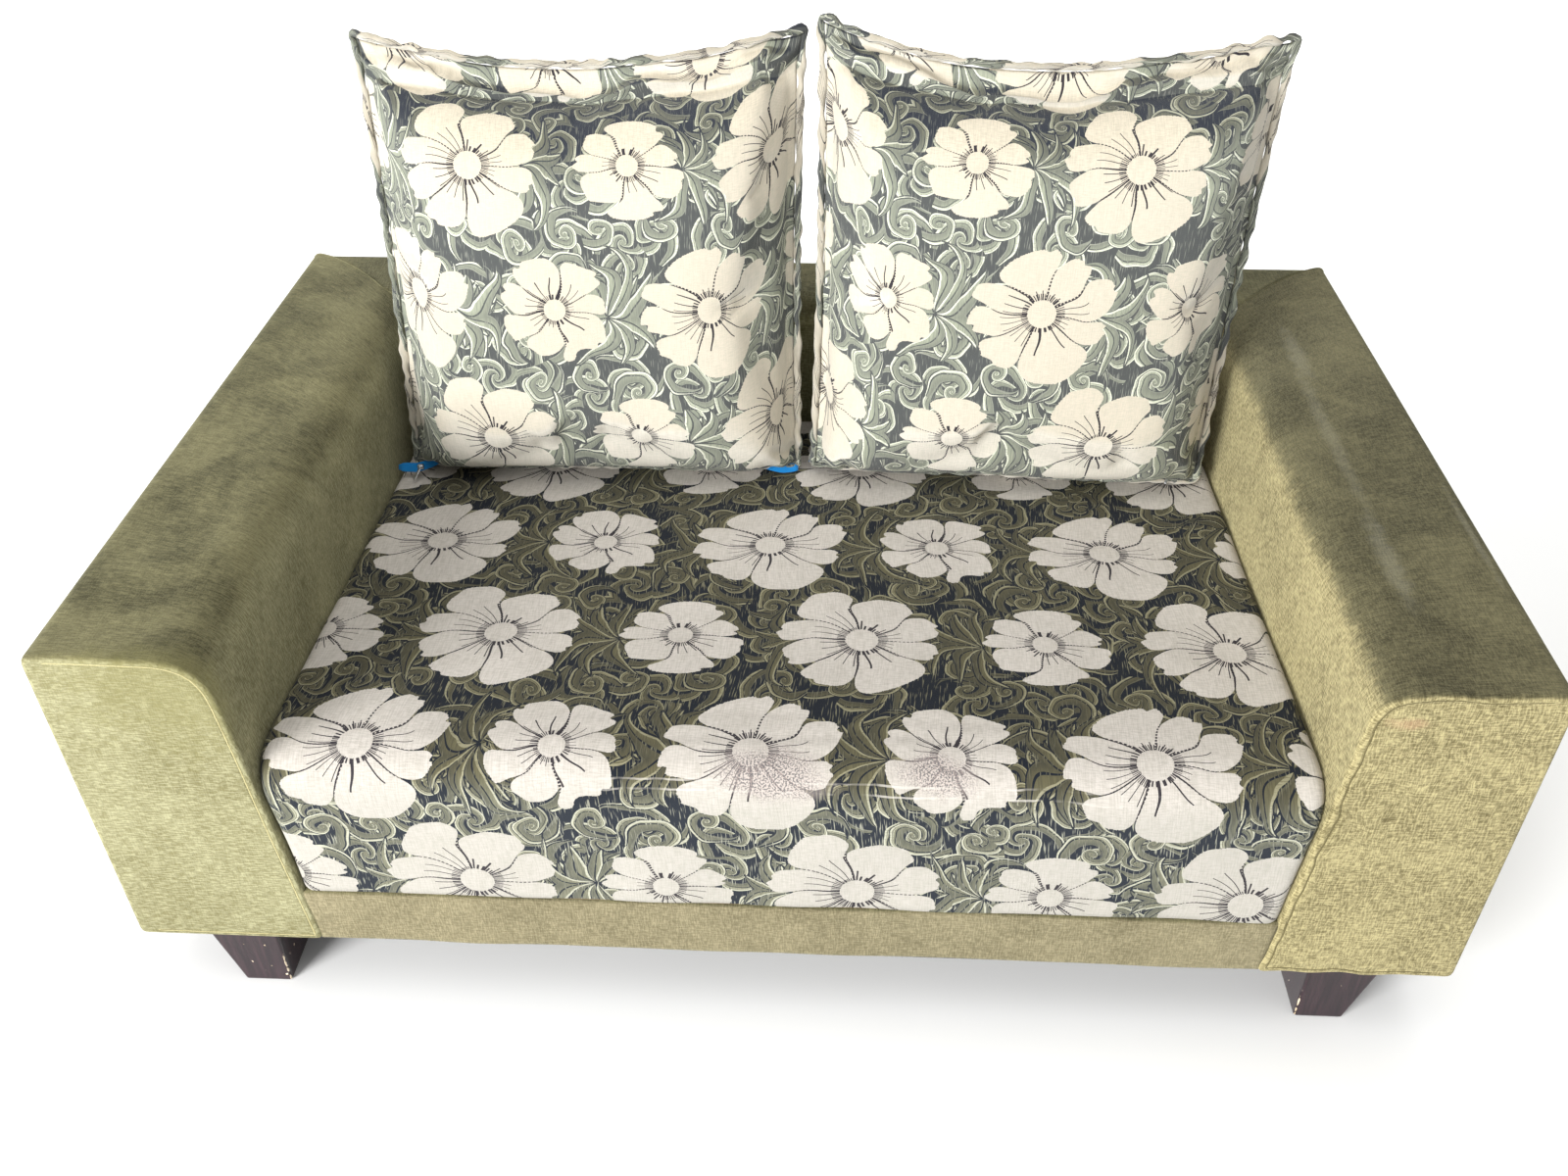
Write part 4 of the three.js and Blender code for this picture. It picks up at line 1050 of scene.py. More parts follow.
def evened(grid, axis, count):
    """The grid walked again along one axis at even steps of length, and the length walked at each step."""
    lines = np.moveaxis(grid, axis, 0)
    steps = np.linalg.norm(np.diff(lines, axis=0), axis=-1)
    walked = np.concatenate([np.zeros((1, steps.shape[1])), np.cumsum(steps, 0)])
    even = np.linspace(0, 1, count)[:, None] * walked[-1]
    out = np.empty((count, *lines.shape[1:]))
    for k in range(lines.shape[1]):
        for d in range(lines.shape[2]):
            out[:, k, d] = np.interp(even[:, k], walked[:, k], lines[:, k, d])
    return np.moveaxis(out, 0, axis), np.moveaxis(even, 0, axis)


def pillow_sheets(side, corners, dip, skew, seed):
    """Front and rear sheets of points, and how far each point lies across and up its cloth. Across u and up v
    run from -1 to 1 between the four corners. The top edge sags between its corners. The half thickness is a
    dome, the root of (1 - u^4.2)(1 - w^3.2), where w reaches 1 already at the hem. Above the hem the empty
    cloth falls forward, and the corners are crumpled."""
    even = np.linspace(-1, 1, 281)
    u, v = np.meshgrid(even, even, indexing="ij")
    rise = (v + 1) / 2
    (low_left, low_left_z), (low_right, low_right_z) = corners[:2]
    (top_left, top_left_z), (top_right, top_right_z) = corners[2:]
    left = low_left + (top_left - low_left) * rise
    right = low_right + (top_right - low_right) * rise
    x = (left + right) / 2 + (right - left) / 2 * u * (1 - PULL_IN * (1 - v**2))
    shifted = u + skew * (1 - u**2)
    crown = top_left_z + (top_right_z - top_left_z) * (u + 1) / 2 - dip * (1 - np.abs(shifted) ** 2.3)
    base = low_left_z + (low_right_z - low_left_z) * (u + 1) / 2
    z = base + (crown - base) * rise
    upper = 1 - np.clip(v / HEM, 0, 1) ** 3.2
    lower = 1 - np.abs(np.clip(v, -1, 0)) ** 9
    dome = np.sqrt(np.clip((1 - np.abs(u) ** 4.2) * upper * lower, 0, None))
    lump = 1 + 0.05 * even_noise(np.stack([u, v], -1), 1.1, seed)
    rim = 2 * MM + 4 * MM * step_up(1.0, 0.95, np.maximum(np.abs(u), np.abs(v)))
    hem = step_up(HEM - 0.04, 1.0, v) * (1 - u**10)
    wavy = even_noise(np.stack([u, v * 0.2], -1), 0.45, seed + 3)
    flop = -(HEM_FALL + CRUMPLE * wavy) * hem
    corner = step_up(0.80, 0.96, np.abs(u)) * step_up(0.76, 0.95, np.abs(v))
    flop = flop + CRUMPLE * corner * even_noise(np.stack([u, v], -1), 0.13, seed + 5)
    front = -(rim + FRONT_BELLY * dome * lump) + flop
    rear = rim + REAR_BELLY * dome * lump * (1 - 0.12 * v) + flop
    edge = np.maximum(np.abs(u), np.abs(v)) > 0.9999
    middle = (front + rear) / 2 * (1 - edge) + edge * flop
    droop = step_up(0.1, -0.9, v)
    sheets = []
    for depth in (front, rear):
        own = np.stack([x, np.where(edge, middle, depth), z], -1)
        placed, _ = evened(leaned(own, side, droop), 1, PILLOW_GRID)
        placed, across = evened(placed, 0, PILLOW_GRID)
        sheets.append((placed, across))
    up = evened(sheets[0][0], 1, PILLOW_GRID)[1]
    return [sheet for sheet, _ in sheets], sheets[0][1], up


print("pillow sheets:", PILLOW_GRID, "by", PILLOW_GRID, "points")


# %% Grids of a closed pillow
def pillow_numbers():
    """Point numbers of both sheets on their grids. They share the rim, so the pillow is closed."""
    n = PILLOW_GRID
    front = np.arange(n * n).reshape(n, n)
    rear = np.full((n, n), -1)
    inside = np.zeros((n, n), bool)
    inside[1:-1, 1:-1] = True
    rear[inside] = n * n + np.arange(inside.sum())
    rear[~inside] = front[~inside]
    return front, rear, inside


def quads_of(numbers, flip):
    """Faces of one sheet from its grid of point numbers, turned over with flip."""
    around = [numbers[:-1, :-1], numbers[1:, :-1], numbers[1:, 1:], numbers[:-1, 1:]]
    quads = np.stack(around, -1).reshape(-1, 4)
    return quads[:, ::-1] if flip else quads


print("points of a pillow:", int(pillow_numbers()[1].max()) + 1)

# %% Inflation
PUFF_FRAMES = 20
PUFF_CAP = 16 * MM
RIM_CAP = 3 * MM
SPARE_CLOTH = 1.02


def inflated(name, start, flat, faces, cap, rim, rim_cap):
    """The start points after the cloth has been blown up from inside for a moment. The panels want their
    flat lengths, so spare cloth buckles. No point may move further than cap, or rim_cap on the rim."""
    mesh = bpy.data.meshes.new(name)
    mesh.from_pydata(start.tolist(), [], faces.tolist())
    body = bpy.data.objects.new(name, mesh)
    bpy.context.scene.collection.objects.link(body)
    body.shape_key_add(name="sewn")
    cut = body.shape_key_add(name="cut")
    cut.data.foreach_set("co", flat.astype(np.float32).ravel())
    cloth = body.modifiers.new("cloth", "CLOTH")
    cloth.settings.quality = 6
    cloth.settings.mass = 0.25
    cloth.settings.tension_stiffness = 30
    cloth.settings.compression_stiffness = 12
    cloth.settings.shear_stiffness = 8
    cloth.settings.bending_stiffness = 0.9
    cloth.settings.use_pressure = True
    cloth.settings.uniform_pressure_force = 4.0
    cloth.settings.effector_weights.gravity = 0.0
    cloth.settings.rest_shape_key = cut
    cloth.point_cache.frame_start = 1
    cloth.point_cache.frame_end = PUFF_FRAMES
    for number in range(1, PUFF_FRAMES + 1):
        bpy.context.scene.frame_set(number)
    baked = body.evaluated_get(bpy.context.evaluated_depsgraph_get()).to_mesh()
    ended = np.empty(len(start) * 3, np.float32)
    baked.vertices.foreach_get("co", ended)
    ended = ended.reshape(-1, 3).astype(float)
    bpy.data.objects.remove(body)
    bpy.context.scene.frame_set(1)
    move = ended - start
    move -= move.mean(0)
    far = np.linalg.norm(move, axis=1)[:, None]
    print(name, "moved at most", round(float(far.max()), 4), "m, capped at", cap)
    limit = np.full_like(far, cap)
    limit[rim] = rim_cap
    return start + move * np.minimum(1.0, limit / np.maximum(far, 1e-9))


def settled(points, side):
    """Keeps a pillow on its seat and off its neighbours: anything lower than the seat, behind the back's
    face, past the middle gap or in an arm is pressed flat against it."""
    seat_top = seat_high[2] - 0.028 * (points[:, 1] - FRONT_Y) / 0.75 + 2 * MM
    points[:, 2] = np.maximum(points[:, 2], np.minimum(seat_top, 0.385) - 3 * MM)
    points[:, 0] = side * np.maximum(points[:, 0] * side, 3 * MM)
    wall = OUTER_X - wall_thickness(np.clip(points[:, 2], UNDER_Z, SHOULDER_Z)) - 3 * MM
    low = points[:, 2] < TOP_Z + 0.01
    points[:, 0] = np.where(low, side * np.minimum(points[:, 0] * side, wall), points[:, 0])
    stop = BACK_Y - BACK_SHARE * wall_thickness(np.clip(points[:, 2], UNDER_Z, SHOULDER_Z)) - 2 * MM
    points[:, 1] = np.where(low, np.minimum(points[:, 1], stop), points[:, 1])
    return points


print("inflation:", PUFF_FRAMES, "frames")

# %% Both pillows
PILLOW_REPEAT_WIDE = REPEAT_WIDE / 0.394
PILLOW_REPEAT_TALL = REPEAT_TALL / 0.345


def pillow(name, side, corners, dip, skew, repeat_x, repeat_up, seed):
    """One pillow: shape, inflation, then the cloth place of every corner so that the flowers line up. dip and
    skew say how deep the top edge sags and where. The middle of a large flower is repeat_x across from the
    pillow's middle and repeat_up above its foot."""
    sheets, across, up = pillow_sheets(side, corners, dip, skew, seed)
    front, rear, inside = pillow_numbers()
    start = np.concatenate([sheets[0].reshape(-1, 3), sheets[1][inside]])
    faces = np.concatenate([quads_of(front, False), quads_of(rear, True)])
    even = np.linspace(-0.5, 0.5, PILLOW_GRID)
    u, v = np.meshgrid(even, even, indexing="ij")
    wide = across[-1].max() * SPARE_CLOTH
    tall = up[:, -1].max() * SPARE_CLOTH
    flat_sheet = np.stack([wide * u, 0 * u, tall * v], -1)
    flat = np.concatenate([flat_sheet.reshape(-1, 3), (flat_sheet + [0, 0.002, 0])[inside]])
    print(name, "cloth", round(float(wide), 3), "by", round(float(tall), 3), "m")
    points = start
    points = inflated(name + "_puff", start, flat, faces, PUFF_CAP, front[~inside], RIM_CAP)
    points = settled(points, side)
    middle = PILLOW_GRID // 2
    height = (sheets[0][middle, :, 2] - PILLOW_FOOT[2]) / math.cos(PILLOW_LEAN)
    level = np.interp(repeat_up, height, up[middle])
    from_middle = across - across[middle][None, :]
    places = np.stack([(from_middle - repeat_x) * PILLOW_REPEAT_WIDE, (level - up) * PILLOW_REPEAT_TALL], -1)
    turned = places * np.array([-1, 1]) + np.array([0.13, 0.09])
    cloth = np.concatenate([grid.reshape(-1, 2)[quads_of(front, flip)].reshape(-1, 2)
                            for grid, flip in ((places, False), (turned, True))])
    piece = write_mesh(name, points, faces, cloth)
    rounding = piece.modifiers.new("rounding", "SUBSURF")
    rounding.levels = 1
    rounding.render_levels = 1
    return piece, points[front], places


LEFT_CORNERS = ((-0.258, -0.004), (0.270, 0.0), (-0.300, 0.549), (0.268, 0.558))
RIGHT_CORNERS = ((-0.264, 0.004), (0.256, -0.008), (-0.262, 0.573), (0.322, 0.552))
left_pillow, left_front, left_cloth = pillow(
    "left_pillow", -1, LEFT_CORNERS, dip=0.042, skew=0.0, repeat_x=-0.130, repeat_up=0.418, seed=51)
right_pillow, right_front, right_cloth = pillow(
    "right_pillow", 1, RIGHT_CORNERS, dip=0.050, skew=0.16, repeat_x=-0.286, repeat_up=0.422, seed=67)
dress(left_pillow, pillow_weave, "jacquard", "left_cushion_cover", "left_cushion_fill", fill=0.75)
dress(right_pillow, pillow_weave, "jacquard", "right_cushion_cover", "right_cushion_fill", fill=0.75)
print("pillows:", len(left_pillow.data.polygons), "faces each")

# %% Rolled edging
ROLL = 4.6 * MM
ROLL_RIDGE = 0.9 * MM


def edging(name, front, corners, seed):
    """A rolled strip of the same cloth sewn into the rim: a tube along the rim's points. Its radius swells
    and shrinks as the roll twists, and the flower pattern runs on round it."""
    loop = np.concatenate([front[:, 0], front[-1, 1:], front[-2::-1, -1], front[0, -2::-1]])
    places = np.concatenate([corners[:, 0], corners[-1, 1:], corners[-2::-1, -1], corners[0, -2::-1]])
    length = np.concatenate([[0], np.cumsum(np.linalg.norm(np.diff(loop, axis=0), axis=1))])
    even = np.linspace(0, length[-1], int(length[-1] / (4 * MM)) + 1)
    path = np.stack([np.interp(even, length, loop[:, k]) for k in range(3)], 1)
    cloth = np.stack([np.interp(even, length, places[:, k]) for k in range(2)], 1)
    for _ in range(3):
        path[1:-1] = (path[:-2] + 2 * path[1:-1] + path[2:]) / 4
    ahead = np.gradient(path, axis=0)
    ahead /= np.linalg.norm(ahead, axis=1)[:, None]
    middle = front.reshape(-1, 3).mean(0)
    outward = path - middle
    outward -= ahead * np.sum(outward * ahead, 1)[:, None]
    outward /= np.linalg.norm(outward, axis=1)[:, None]
    third = np.cross(ahead, outward)
    turn = np.linspace(0, math.tau, 17)
    ridge = np.sin(turn[None, :] * 2 + even[:, None] * 150 + 3 * np.sin(even[:, None] * 23))
    swell = even_noise(even[:, None], 0.05, seed)[:, None]
    radius = ROLL + ROLL_RIDGE * ridge + ROLL_RIDGE * swell
    radius[:, -1] = radius[:, 0]
    shift = 1.2 * MM * even_noise(even[:, None], 0.03, seed + 1)[:, None]
    ring = (path + outward * shift)[:, None] + radius[..., None] * (
        np.cos(turn)[None, :, None] * outward[:, None] + np.sin(turn)[None, :, None] * third[:, None])
    ring[-1] = ring[0]
    wrap = cloth[:, None] + 0.02 * np.stack([np.sin(turn), np.cos(turn)], -1)[None]
    return sewn(name, [(ring, wrap)])


left_edging = edging("left_pillow_edging", left_front, left_cloth, 71)
right_edging = edging("right_pillow_edging", right_front, right_cloth, 83)
dress(left_edging, pillow_weave, "jacquard", "left_cushion_piping", fill=0.8)
dress(right_edging, pillow_weave, "jacquard", "right_cushion_piping", fill=0.8)
print("edging:", len(left_edging.data.polygons), "faces")

# %% [markdown]
# ## Zips
# Each pillow closes with a zip along its lower edge. On the left pillow both ends of the blue tape peep out
# beside the corners, one of them with its slider. The right pillow's zip is tucked under it. The tape is a
# narrow woven ribbon with a row of coil teeth. It follows the pillow's rim and twists where nothing holds it.
# The slider is a small cast box with a bridge on top and a thin tab that hangs down.

# %% Zip tapes
PEEP = {-1: (26 * MM, 12 * MM), 1: (0.0, 0.0)}
TUCKED = {-1: 0.0, 1: 30 * MM}
HALF_TAPE = 6.2 * MM
TOOTH_STEP = 1.5 * MM


def zip_tape(name, side, front):
    """A ribbon along the lower rim, and its middle line. An end that peeps out comes forward by its own
    length and twists until its face looks forward and up."""
    rim = front[:, 0]
    rim = rim[np.argsort(rim[:, 0])]
    share = np.linspace(0, 1, 90)
    low, high = (np.array(v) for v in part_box(name.replace("_ribbon", "")))
    x = low[0] + (high[0] - TUCKED[side] - low[0]) * share
    away = np.maximum(0.14 - share, share - 0.86) / 0.10
    curl = step_up(0, 1, away) * (max(PEEP[side]) > 0)
    y = np.interp(x, rim[:, 0], rim[:, 1]) + 6 * MM - np.where(share < 0.5, *PEEP[side]) * curl
    z = low[2] + 8 * MM - 3.0 * MM * curl
    middle = np.stack([x, y, z], 1)
    width = np.linspace(-1, 1, 9)
    tip = 1 - 0.5 * step_up(0.985, 1.0, np.maximum(share, 1 - share))
    slope = 0.45 + 0.12 * np.sin(share * 31) + 1.7 * curl
    sideways = np.stack([0 * slope, -np.cos(slope), np.sin(slope)], 1)[:, None]
    face = np.stack([0 * slope, np.sin(slope), np.cos(slope)], 1)[:, None]
    grid = middle[:, None] + (HALF_TAPE * width[None, :] * tip[:, None])[..., None] * sideways
    coil = np.exp(-(width / 0.22) ** 2)
    teeth = coil[None, :] * (0.5 + 0.5 * np.sin(x * math.tau / TOOTH_STEP))[:, None]
    top = grid + face * (0.6 * MM + 0.9 * MM * coil + 0.2 * MM * teeth)[..., None]
    under = grid[:, ::-1] - face * 0.3 * MM
    ring = np.concatenate([top, under, top[:, :1]], 1)
    ends = np.repeat(ring.mean(1, keepdims=True), ring.shape[1], 1)
    closed = np.concatenate([ends[:1], ring, ends[-1:]])
    rows = np.concatenate([x[:1], x, x[-1:]])
    cloth = np.stack(np.broadcast_arrays(rows[:, None], np.linspace(0, 0.026, ring.shape[1])[None, :]), -1)
    return sewn(name, [(closed, cloth)]), middle


RIB_STEP = 1.2 * MM
blue_zip, blue_tree, blue_shader = new_material("blue_zip", Roughness=0.55, Specular_IOR_Level=0.35)
zip_across, zip_down, _ = parts_of(blue_tree, cloth_map(blue_tree))
ribs = (zip_across * (math.tau / RIB_STEP)).math("SINE") * (zip_down * (math.tau / RIB_STEP)).math("SINE")
soil = noise(blue_tree, own_place(blue_tree), 140.0, 2.0)
blue = tint(blue_tree, ribs.ramp(-0.8, 0.8) * 0.5, (0.008, 0.24, 0.68), (0.016, 0.38, 0.92))
blue_tree.links.new(tint(blue_tree, soil.ramp(0.55, 0.8) * 0.25, blue, (0.05, 0.14, 0.28)),
                    blue_shader.inputs["Base Color"])
raised(blue_tree, ribs, blue_shader, 0.0004)
tape_lines = {}
for side, word, sheet in ((-1, "left", left_front), (1, "right", right_front)):
    tape, tape_lines[side] = zip_tape(word + "_zip_tape_ribbon", side, sheet)
    dress(tape, blue_zip, "zip_tape", word + "_zip_tape")
print("zip tapes: 2")

# %% [markdown]
# ## Feet
# The feet are tapered blocks of lacquered wood. Kicks have broken the lacquer along the edges that face
# inwards, and pale wood shows there. The block is one outline with small rounded corners that narrows as it
# goes down. The chips are real dents in its edge, and the lacquer's colour is chipped to wood near that edge
# by a noise of its own.

# %% Foot blocks
FOOT_CORNER = 3.0 * MM
CHIP_DEPTH = 1.0 * MM


def solid_points(name):
    """All the points of a CAD solid."""
    mesh = frame["nodes"][name].data
    points = np.empty(len(mesh.vertices) * 3, np.float32)
    mesh.vertices.foreach_get("co", points)
    return points.reshape(-1, 3).astype(float)


def foot(name, seed):
    """A tapered block between the frame foot's corners, with rounded edges and chips along one of them. The
    chips bite where noise is high, and fade from a third of the way up."""
    low, high = (np.array(v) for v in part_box(name))
    corners = solid_points(name)
    base = corners[corners[:, 2] < low[2] + 1 * MM]
    crown = corners[corners[:, 2] > high[2] - 1 * MM]
    square = rounded_outline([(-1, -1), (1, -1), (1, 1), (-1, 1)], [0.09] * 4, 0.03)
    levels = np.concatenate([[0, 0.5, 1.2, 2.2, 3.2], np.linspace(5, 99, 40), [100.5, 101.3, 102]]) * MM
    share = (levels / levels[-1])[:, None, None]
    middle_low = (base.min(0) + base.max(0))[:2] / 2
    half_low = (base.max(0) - base.min(0))[:2] / 2
    middle_high = (crown.min(0) + crown.max(0))[:2] / 2
    half_high = (crown.max(0) - crown.min(0))[:2] / 2
    half = half_low + (half_high - half_low) * share
    middle = middle_low + (middle_high - middle_low) * share
    above = np.clip(levels / FOOT_CORNER, 0, 1)
    edge_in = FOOT_CORNER * (1 - np.sqrt(np.clip(1 - (1 - above) ** 2, 0, 1)))[:, None, None]
    flat = middle + square[None] * (half - edge_in)
    points = np.concatenate([flat, np.broadcast_to(levels[:, None, None], flat.shape[:2] + (1,))], -1)
    inner = np.array([-np.sign(middle_low[0]), -1.0])
    near = np.exp(-(np.linalg.norm(square - inner * 0.97, axis=1) / 0.05) ** 2)[None, :]
    bite = step_up(0.1, 0.9, even_noise(points, 0.013, seed)) * step_up(70 * MM, 30 * MM, points[..., 2])
    points[..., :2] -= inner * (near * bite * CHIP_DEPTH)[..., None]
    around = np.concatenate([[0], np.cumsum(np.linalg.norm(np.diff(square * half_high, axis=0), axis=1))])
    cloth = np.stack(np.broadcast_arrays(around[None, :], levels[:, None]), -1)
    caps = []
    for row in (0, -1):
        rim = points[row]
        centre = (rim[:-1].min(0) + rim[:-1].max(0)) / 2
        grid = centre + (rim - centre) * np.linspace(1, 0, 5)[:, None, None]
        caps.append((grid, grid[..., :2].copy()))
    return sewn(name + "_block", [(points, cloth), *caps])


# %% Lacquer
def lacquer(name, edge, seed):
    """Gloss dark brown lacquer. Near the upright edge at the place edge (x, y), and in a few specks, it is
    chipped to wood."""
    material, tree, shader = new_material(name, Coat_Weight=0.35, Coat_Roughness=0.1, Specular_IOR_Level=0.3)
    place = own_place(tree)
    x, y, z = parts_of(tree, place)
    streak = noise(tree, joined(tree, x * 240.0, y * 240.0, z * 14.0), 1.0, 3.0)
    chips = noise(tree, joined(tree, x + seed, y, z * 0.55), 190.0, 3.0, 0.65)
    specks = noise(tree, joined(tree, x, y + seed, z), 130.0, 1.0)
    away = ((x - edge[0]).math("POWER", 2.0) + (y - edge[1]).math("POWER", 2.0)).math("SQRT")
    near = away.ramp(0.0042, 0.0008) * z.ramp(0.068, 0.040)
    bare = ((chips * 0.7 + near * 0.55) > 0.80).math("MAXIMUM", (specks > 0.74) * (chips > 0.5))
    brown = tint(tree, streak.ramp(0.3, 0.75), (0.014, 0.007, 0.010), (0.036, 0.017, 0.022))
    wood = tint(tree, streak.ramp(0.3, 0.7), (0.55, 0.42, 0.27), (0.76, 0.66, 0.50))
    tree.links.new(tint(tree, bare, brown, wood), shader.inputs["Base Color"])
    wire(tree, bare * 0.5 + streak * 0.08 + 0.16, shader.inputs["Roughness"])
    raised(tree, bare * -1.0 + streak * 0.15, shader, 0.0005)
    return material


for end in ("front", "rear"):
    for word, seed in (("left", 3.0), ("right", 8.0)):
        name = f"{end}_{word}_foot"
        low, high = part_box(name)
        inner_x = high[0] if word == "left" else low[0]
        finish = lacquer(f"{end}_{word}_lacquer", (float(inner_x), float(low[1])), seed)
        dress(foot(name, int(seed) + 90), finish, "foot", name)
print("feet: 4")

# %% [markdown]
# ## Underside and inner frame
# Black dust cloth closes the underside. It is one thin sheet stapled tight, so it only waves a little
# between its staples. Everything behind the cloth keeps its own solid: planed softwood rails, brown board,
# elastic webbing and zinc-plated bolts. They show when the sofa is taken apart, so each gets a real finish.

# %% Dust cloth
def dust_cloth():
    """A thin sheet: two faces a millimetre apart over the underside, raised a little between the staples."""
    low, high = (np.array(v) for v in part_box("dust_cover"))
    x, y = np.meshgrid(np.linspace(low[0], high[0], 150), np.linspace(low[1], high[1], 94), indexing="ij")
    edge = np.minimum.reduce([x - low[0], high[0] - x, y - low[1], high[1] - y])
    wave = 0.5 * MM * even_noise(np.stack([x, y], -1), 0.09, 5) * step_up(0, 0.05, edge)
    lower = np.stack([x, y, low[2] + 0 * x - np.abs(wave)], -1)
    upper = np.stack([x, y, high[2] + 0 * x - np.abs(wave)], -1)
    thin = np.stack([lower, upper])
    grids = [lower, upper, thin[:, 0], thin[:, -1], thin[:, :, 0], thin[:, :, -1]]
    return sewn("dust_cloth", [(grid, grid[..., :2].copy()) for grid in grids]), high - low


black_cloth, dust_tree, dust_shader = new_material("black_cloth", Roughness=0.95, Sheen_Weight=0.1)
fibre = noise(dust_tree, own_place(dust_tree), 420.0, 3.0, 0.7, warp=1.5)
dots = noise(dust_tree, own_place(dust_tree), 30.0, 2.0)
dusty = tint(dust_tree, fibre * 0.8 + dots.ramp(0.5, 0.9) * 0.4, (0.008, 0.008, 0.009), (0.045, 0.043, 0.04))
dust_tree.links.new(dusty, dust_shader.inputs["Base Color"])
raised(dust_tree, fibre, dust_shader, 0.0004)
dust, dust_size = dust_cloth()
dress(dust, black_cloth, "dust_cloth", "dust_cover")
print("dust cloth", dust_size[:2])


# %% Finishes of the hidden solids
def grained(name, dark, pale, stretch, scale, rough, depth):
    """Wood or board: noise drawn out along the grain by stretch (x, y, z)."""
    material, tree, shader = new_material(name, Roughness=rough, Specular_IOR_Level=0.3)
    x, y, z = (value * pull for value, pull in zip(parts_of(tree, own_place(tree)), stretch))
    lines = noise(tree, joined(tree, x, y, z), scale, 4.0, 0.6, warp=0.8)
    fine = noise(tree, joined(tree, x * 5.0, y * 5.0, z * 5.0), scale, 2.0)
    colour = tint(tree, lines.ramp(0.3, 0.72) * 0.8 + fine * 0.2, dark, pale)
    tree.links.new(colour, shader.inputs["Base Color"])
    raised(tree, lines + fine * 0.5, shader, depth)
    return material


def plain_steel():
    """Zinc plate: a brushed grey with faint cloudy spangles."""
    material, tree, shader = new_material("zinc_steel", Metallic=1.0)
    place = own_place(tree)
    cloud = noise(tree, place, 300.0, 2.0)
    tree.links.new(tint(tree, cloud, (0.52, 0.53, 0.55), (0.78, 0.79, 0.8)), shader.inputs["Base Color"])
    wire(tree, cloud * 0.25 + 0.22, shader.inputs["Roughness"])
    return material


softwood = grained("softwood", (0.40, 0.25, 0.12), (0.68, 0.52, 0.33),
                   stretch=(1.0, 1.0, 8.0), scale=16.0, rough=0.7, depth=0.0006)
brown_board = grained("brown_board", (0.16, 0.10, 0.055), (0.30, 0.20, 0.12),
                      stretch=(1.0, 1.0, 1.0), scale=130.0, rough=0.8, depth=0.0004)
webbing = grained("elastic_webbing", (0.02, 0.018, 0.016), (0.10, 0.09, 0.08),
                  stretch=(6.0, 1.0, 6.0), scale=60.0, rough=0.85, depth=0.0006)
zinc_steel = plain_steel()
finishes = {"timber": softwood, "board": brown_board, "webbing": webbing, "steel": zinc_steel}
for part in frame["record"]["subparts"]:
    solid = frame["nodes"][part["node"]]
    if part["material_slot"] in finishes and not solid.hide_render:
        solid.data.materials.clear()
        solid.data.materials.append(finishes[part["material_slot"]])
shown = {name: solid for name, solid in frame["nodes"].items() if not solid.hide_render}
bare = [name for name, solid in shown.items() if solid.data.materials[0] not in finishes.values()]
print("solids still without a finish:", bare)

# %% Zip sliders
PEBBLE_POWER = 0.45
SLIDER_STEP = 5
TAB_FALL = 0.6
TAB_TURN = -0.45
TAB_HALF = np.array([1.9, 9.5, 0.5]) * MM


def pebble(centre, half, turn):
    """A box with soft corners: a sphere's cosines and sines, each raised to a small power so that the ball
    fills its box. turn is a 3x3 matrix of its axes."""
    around = np.linspace(-math.pi, math.pi, 25)[:, None]
    rise = np.linspace(-math.pi / 2, math.pi / 2, 13)[None, :]

    def squared(value):
        """The value's sign times its size to the power."""
        return np.sign(value) * np.abs(np.round(value, 12)) ** PEBBLE_POWER

    level = squared(np.cos(rise))
    ball = np.stack(np.broadcast_arrays(level * squared(np.cos(around)), level * squared(np.sin(around)),
                                        squared(np.sin(rise))), -1)
    points = centre + (ball * half) @ turn.T
    return points, ball[..., :2] * half[0]


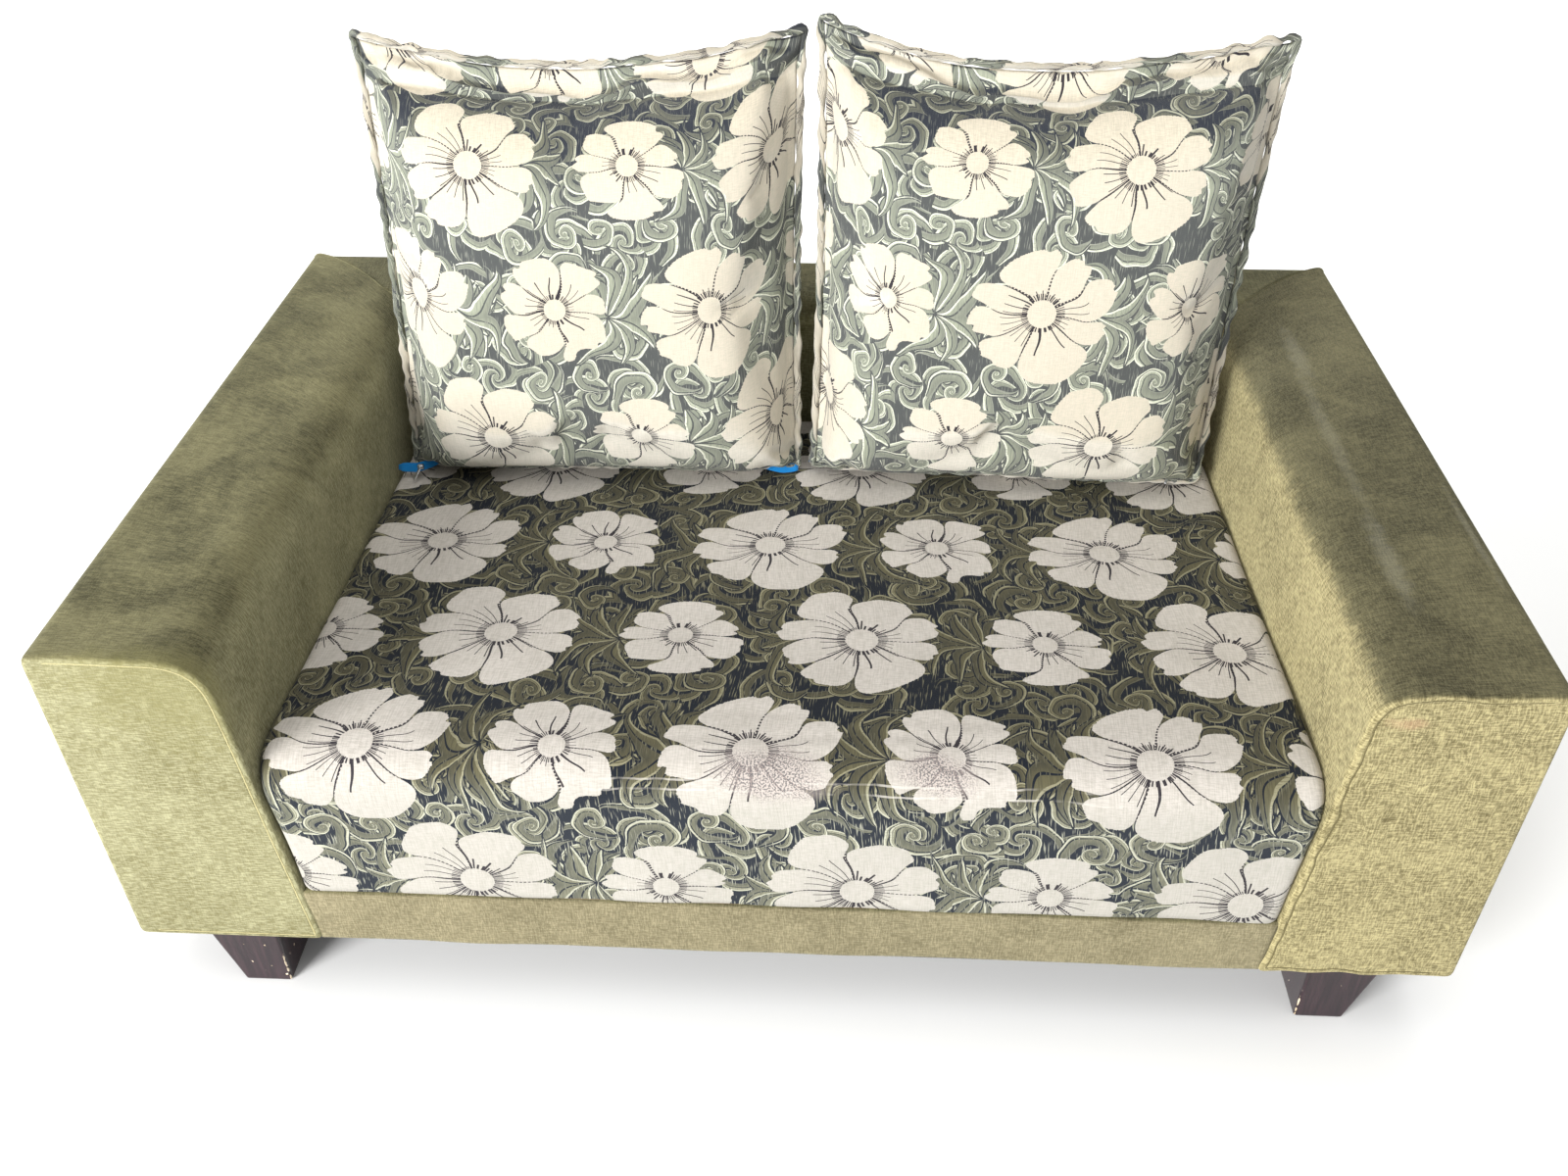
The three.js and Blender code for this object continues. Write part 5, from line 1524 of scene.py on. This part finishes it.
unturned = np.eye(3)
swing = np.array(Matrix.Rotation(TAB_TURN, 3, "Z") @ Matrix.Rotation(TAB_FALL, 3, "X"))
for side, word in ((-1, "left"), (1, "right")):
    spot = tape_lines[side][SLIDER_STEP if side < 0 else -1 - SLIDER_STEP]
    body = pebble(spot + np.array([0, -1.6, 1.2]) * MM, np.array([4.4, 3.0, 3.4]) * MM, unturned)
    bridge = pebble(spot + np.array([0, -4.2, 2.0]) * MM, np.array([1.3, 2.6, 1.4]) * MM, unturned)
    eye = spot + np.array([0, -4.6, 1.6]) * MM
    tab = pebble(eye - swing[:, 1] * TAB_HALF[1], TAB_HALF, swing)
    dress(sewn(word + "_zip_pull", [body, bridge, tab]), zinc_steel, "steel", word + "_zip_slider")
print("zip sliders: 2")

# %% [markdown]
# ## Floor and light
# The sofa stands on a plain pale floor. One large soft lamp stands low at the front left, like a window or an
# open door, so upright cloth is bright and flat cloth is darker. A white sky fills the shadows.

# %% Floor, sky and lamps
FLOOR_HALF = 15.0
SKY = 0.55
floor_finish, floor_tree, floor_shader = new_material("pale_floor", Roughness=0.9)
drift = noise(floor_tree, own_place(floor_tree), 3.0)
floor_colour = tint(floor_tree, drift, (0.87, 0.87, 0.86), (0.9, 0.9, 0.89))
floor_tree.links.new(floor_colour, floor_shader.inputs["Base Color"])
floor_ends = np.linspace(-FLOOR_HALF, FLOOR_HALF, 3)
floor_x, floor_y = np.meshgrid(floor_ends, floor_ends, indexing="ij")
floor_places = np.stack([floor_x, floor_y], -1)
floor_numbers = grid_faces(3, 3)[:, ::-1]
floor = write_mesh("floor", np.stack([floor_x, floor_y, 0 * floor_x], -1).reshape(-1, 3), floor_numbers,
                   floor_places.reshape(-1, 2)[floor_numbers.ravel()])
floor.data.materials.append(floor_finish)

world = bpy.data.worlds.new("sky")
bpy.context.scene.world = world
world.use_nodes = True
sky = world.node_tree.nodes["Background"]
sky.inputs["Color"].default_value = (1, 1, 1, 1)
sky.inputs["Strength"].default_value = SKY
bpy.context.scene.view_settings.view_transform = "Standard"


def soft_lamp(name, place, target, size, power):
    """A round lamp at place that faces target."""
    data = bpy.data.lights.new(name, "AREA")
    data.shape = "DISK"
    data.size = size
    data.energy = power
    lamp = bpy.data.objects.new(name, data)
    bpy.context.scene.collection.objects.link(lamp)
    turn = (Vector(target) - Vector(place)).to_track_quat("-Z", "Y")
    lamp.matrix_world = Matrix.Translation(place) @ turn.to_matrix().to_4x4()
    return lamp


soft_lamp("window", (-3.9, -4.5, 2.0), (0, 0, 0.35), 3.0, 640)
soft_lamp("ceiling", (0.3, -0.5, 3.3), (0, 0, 0.4), 3.0, 42)
soft_lamp("far_floor", (0, 5.0, 2.6), (0, 4.6, 0), 5.0, 260)
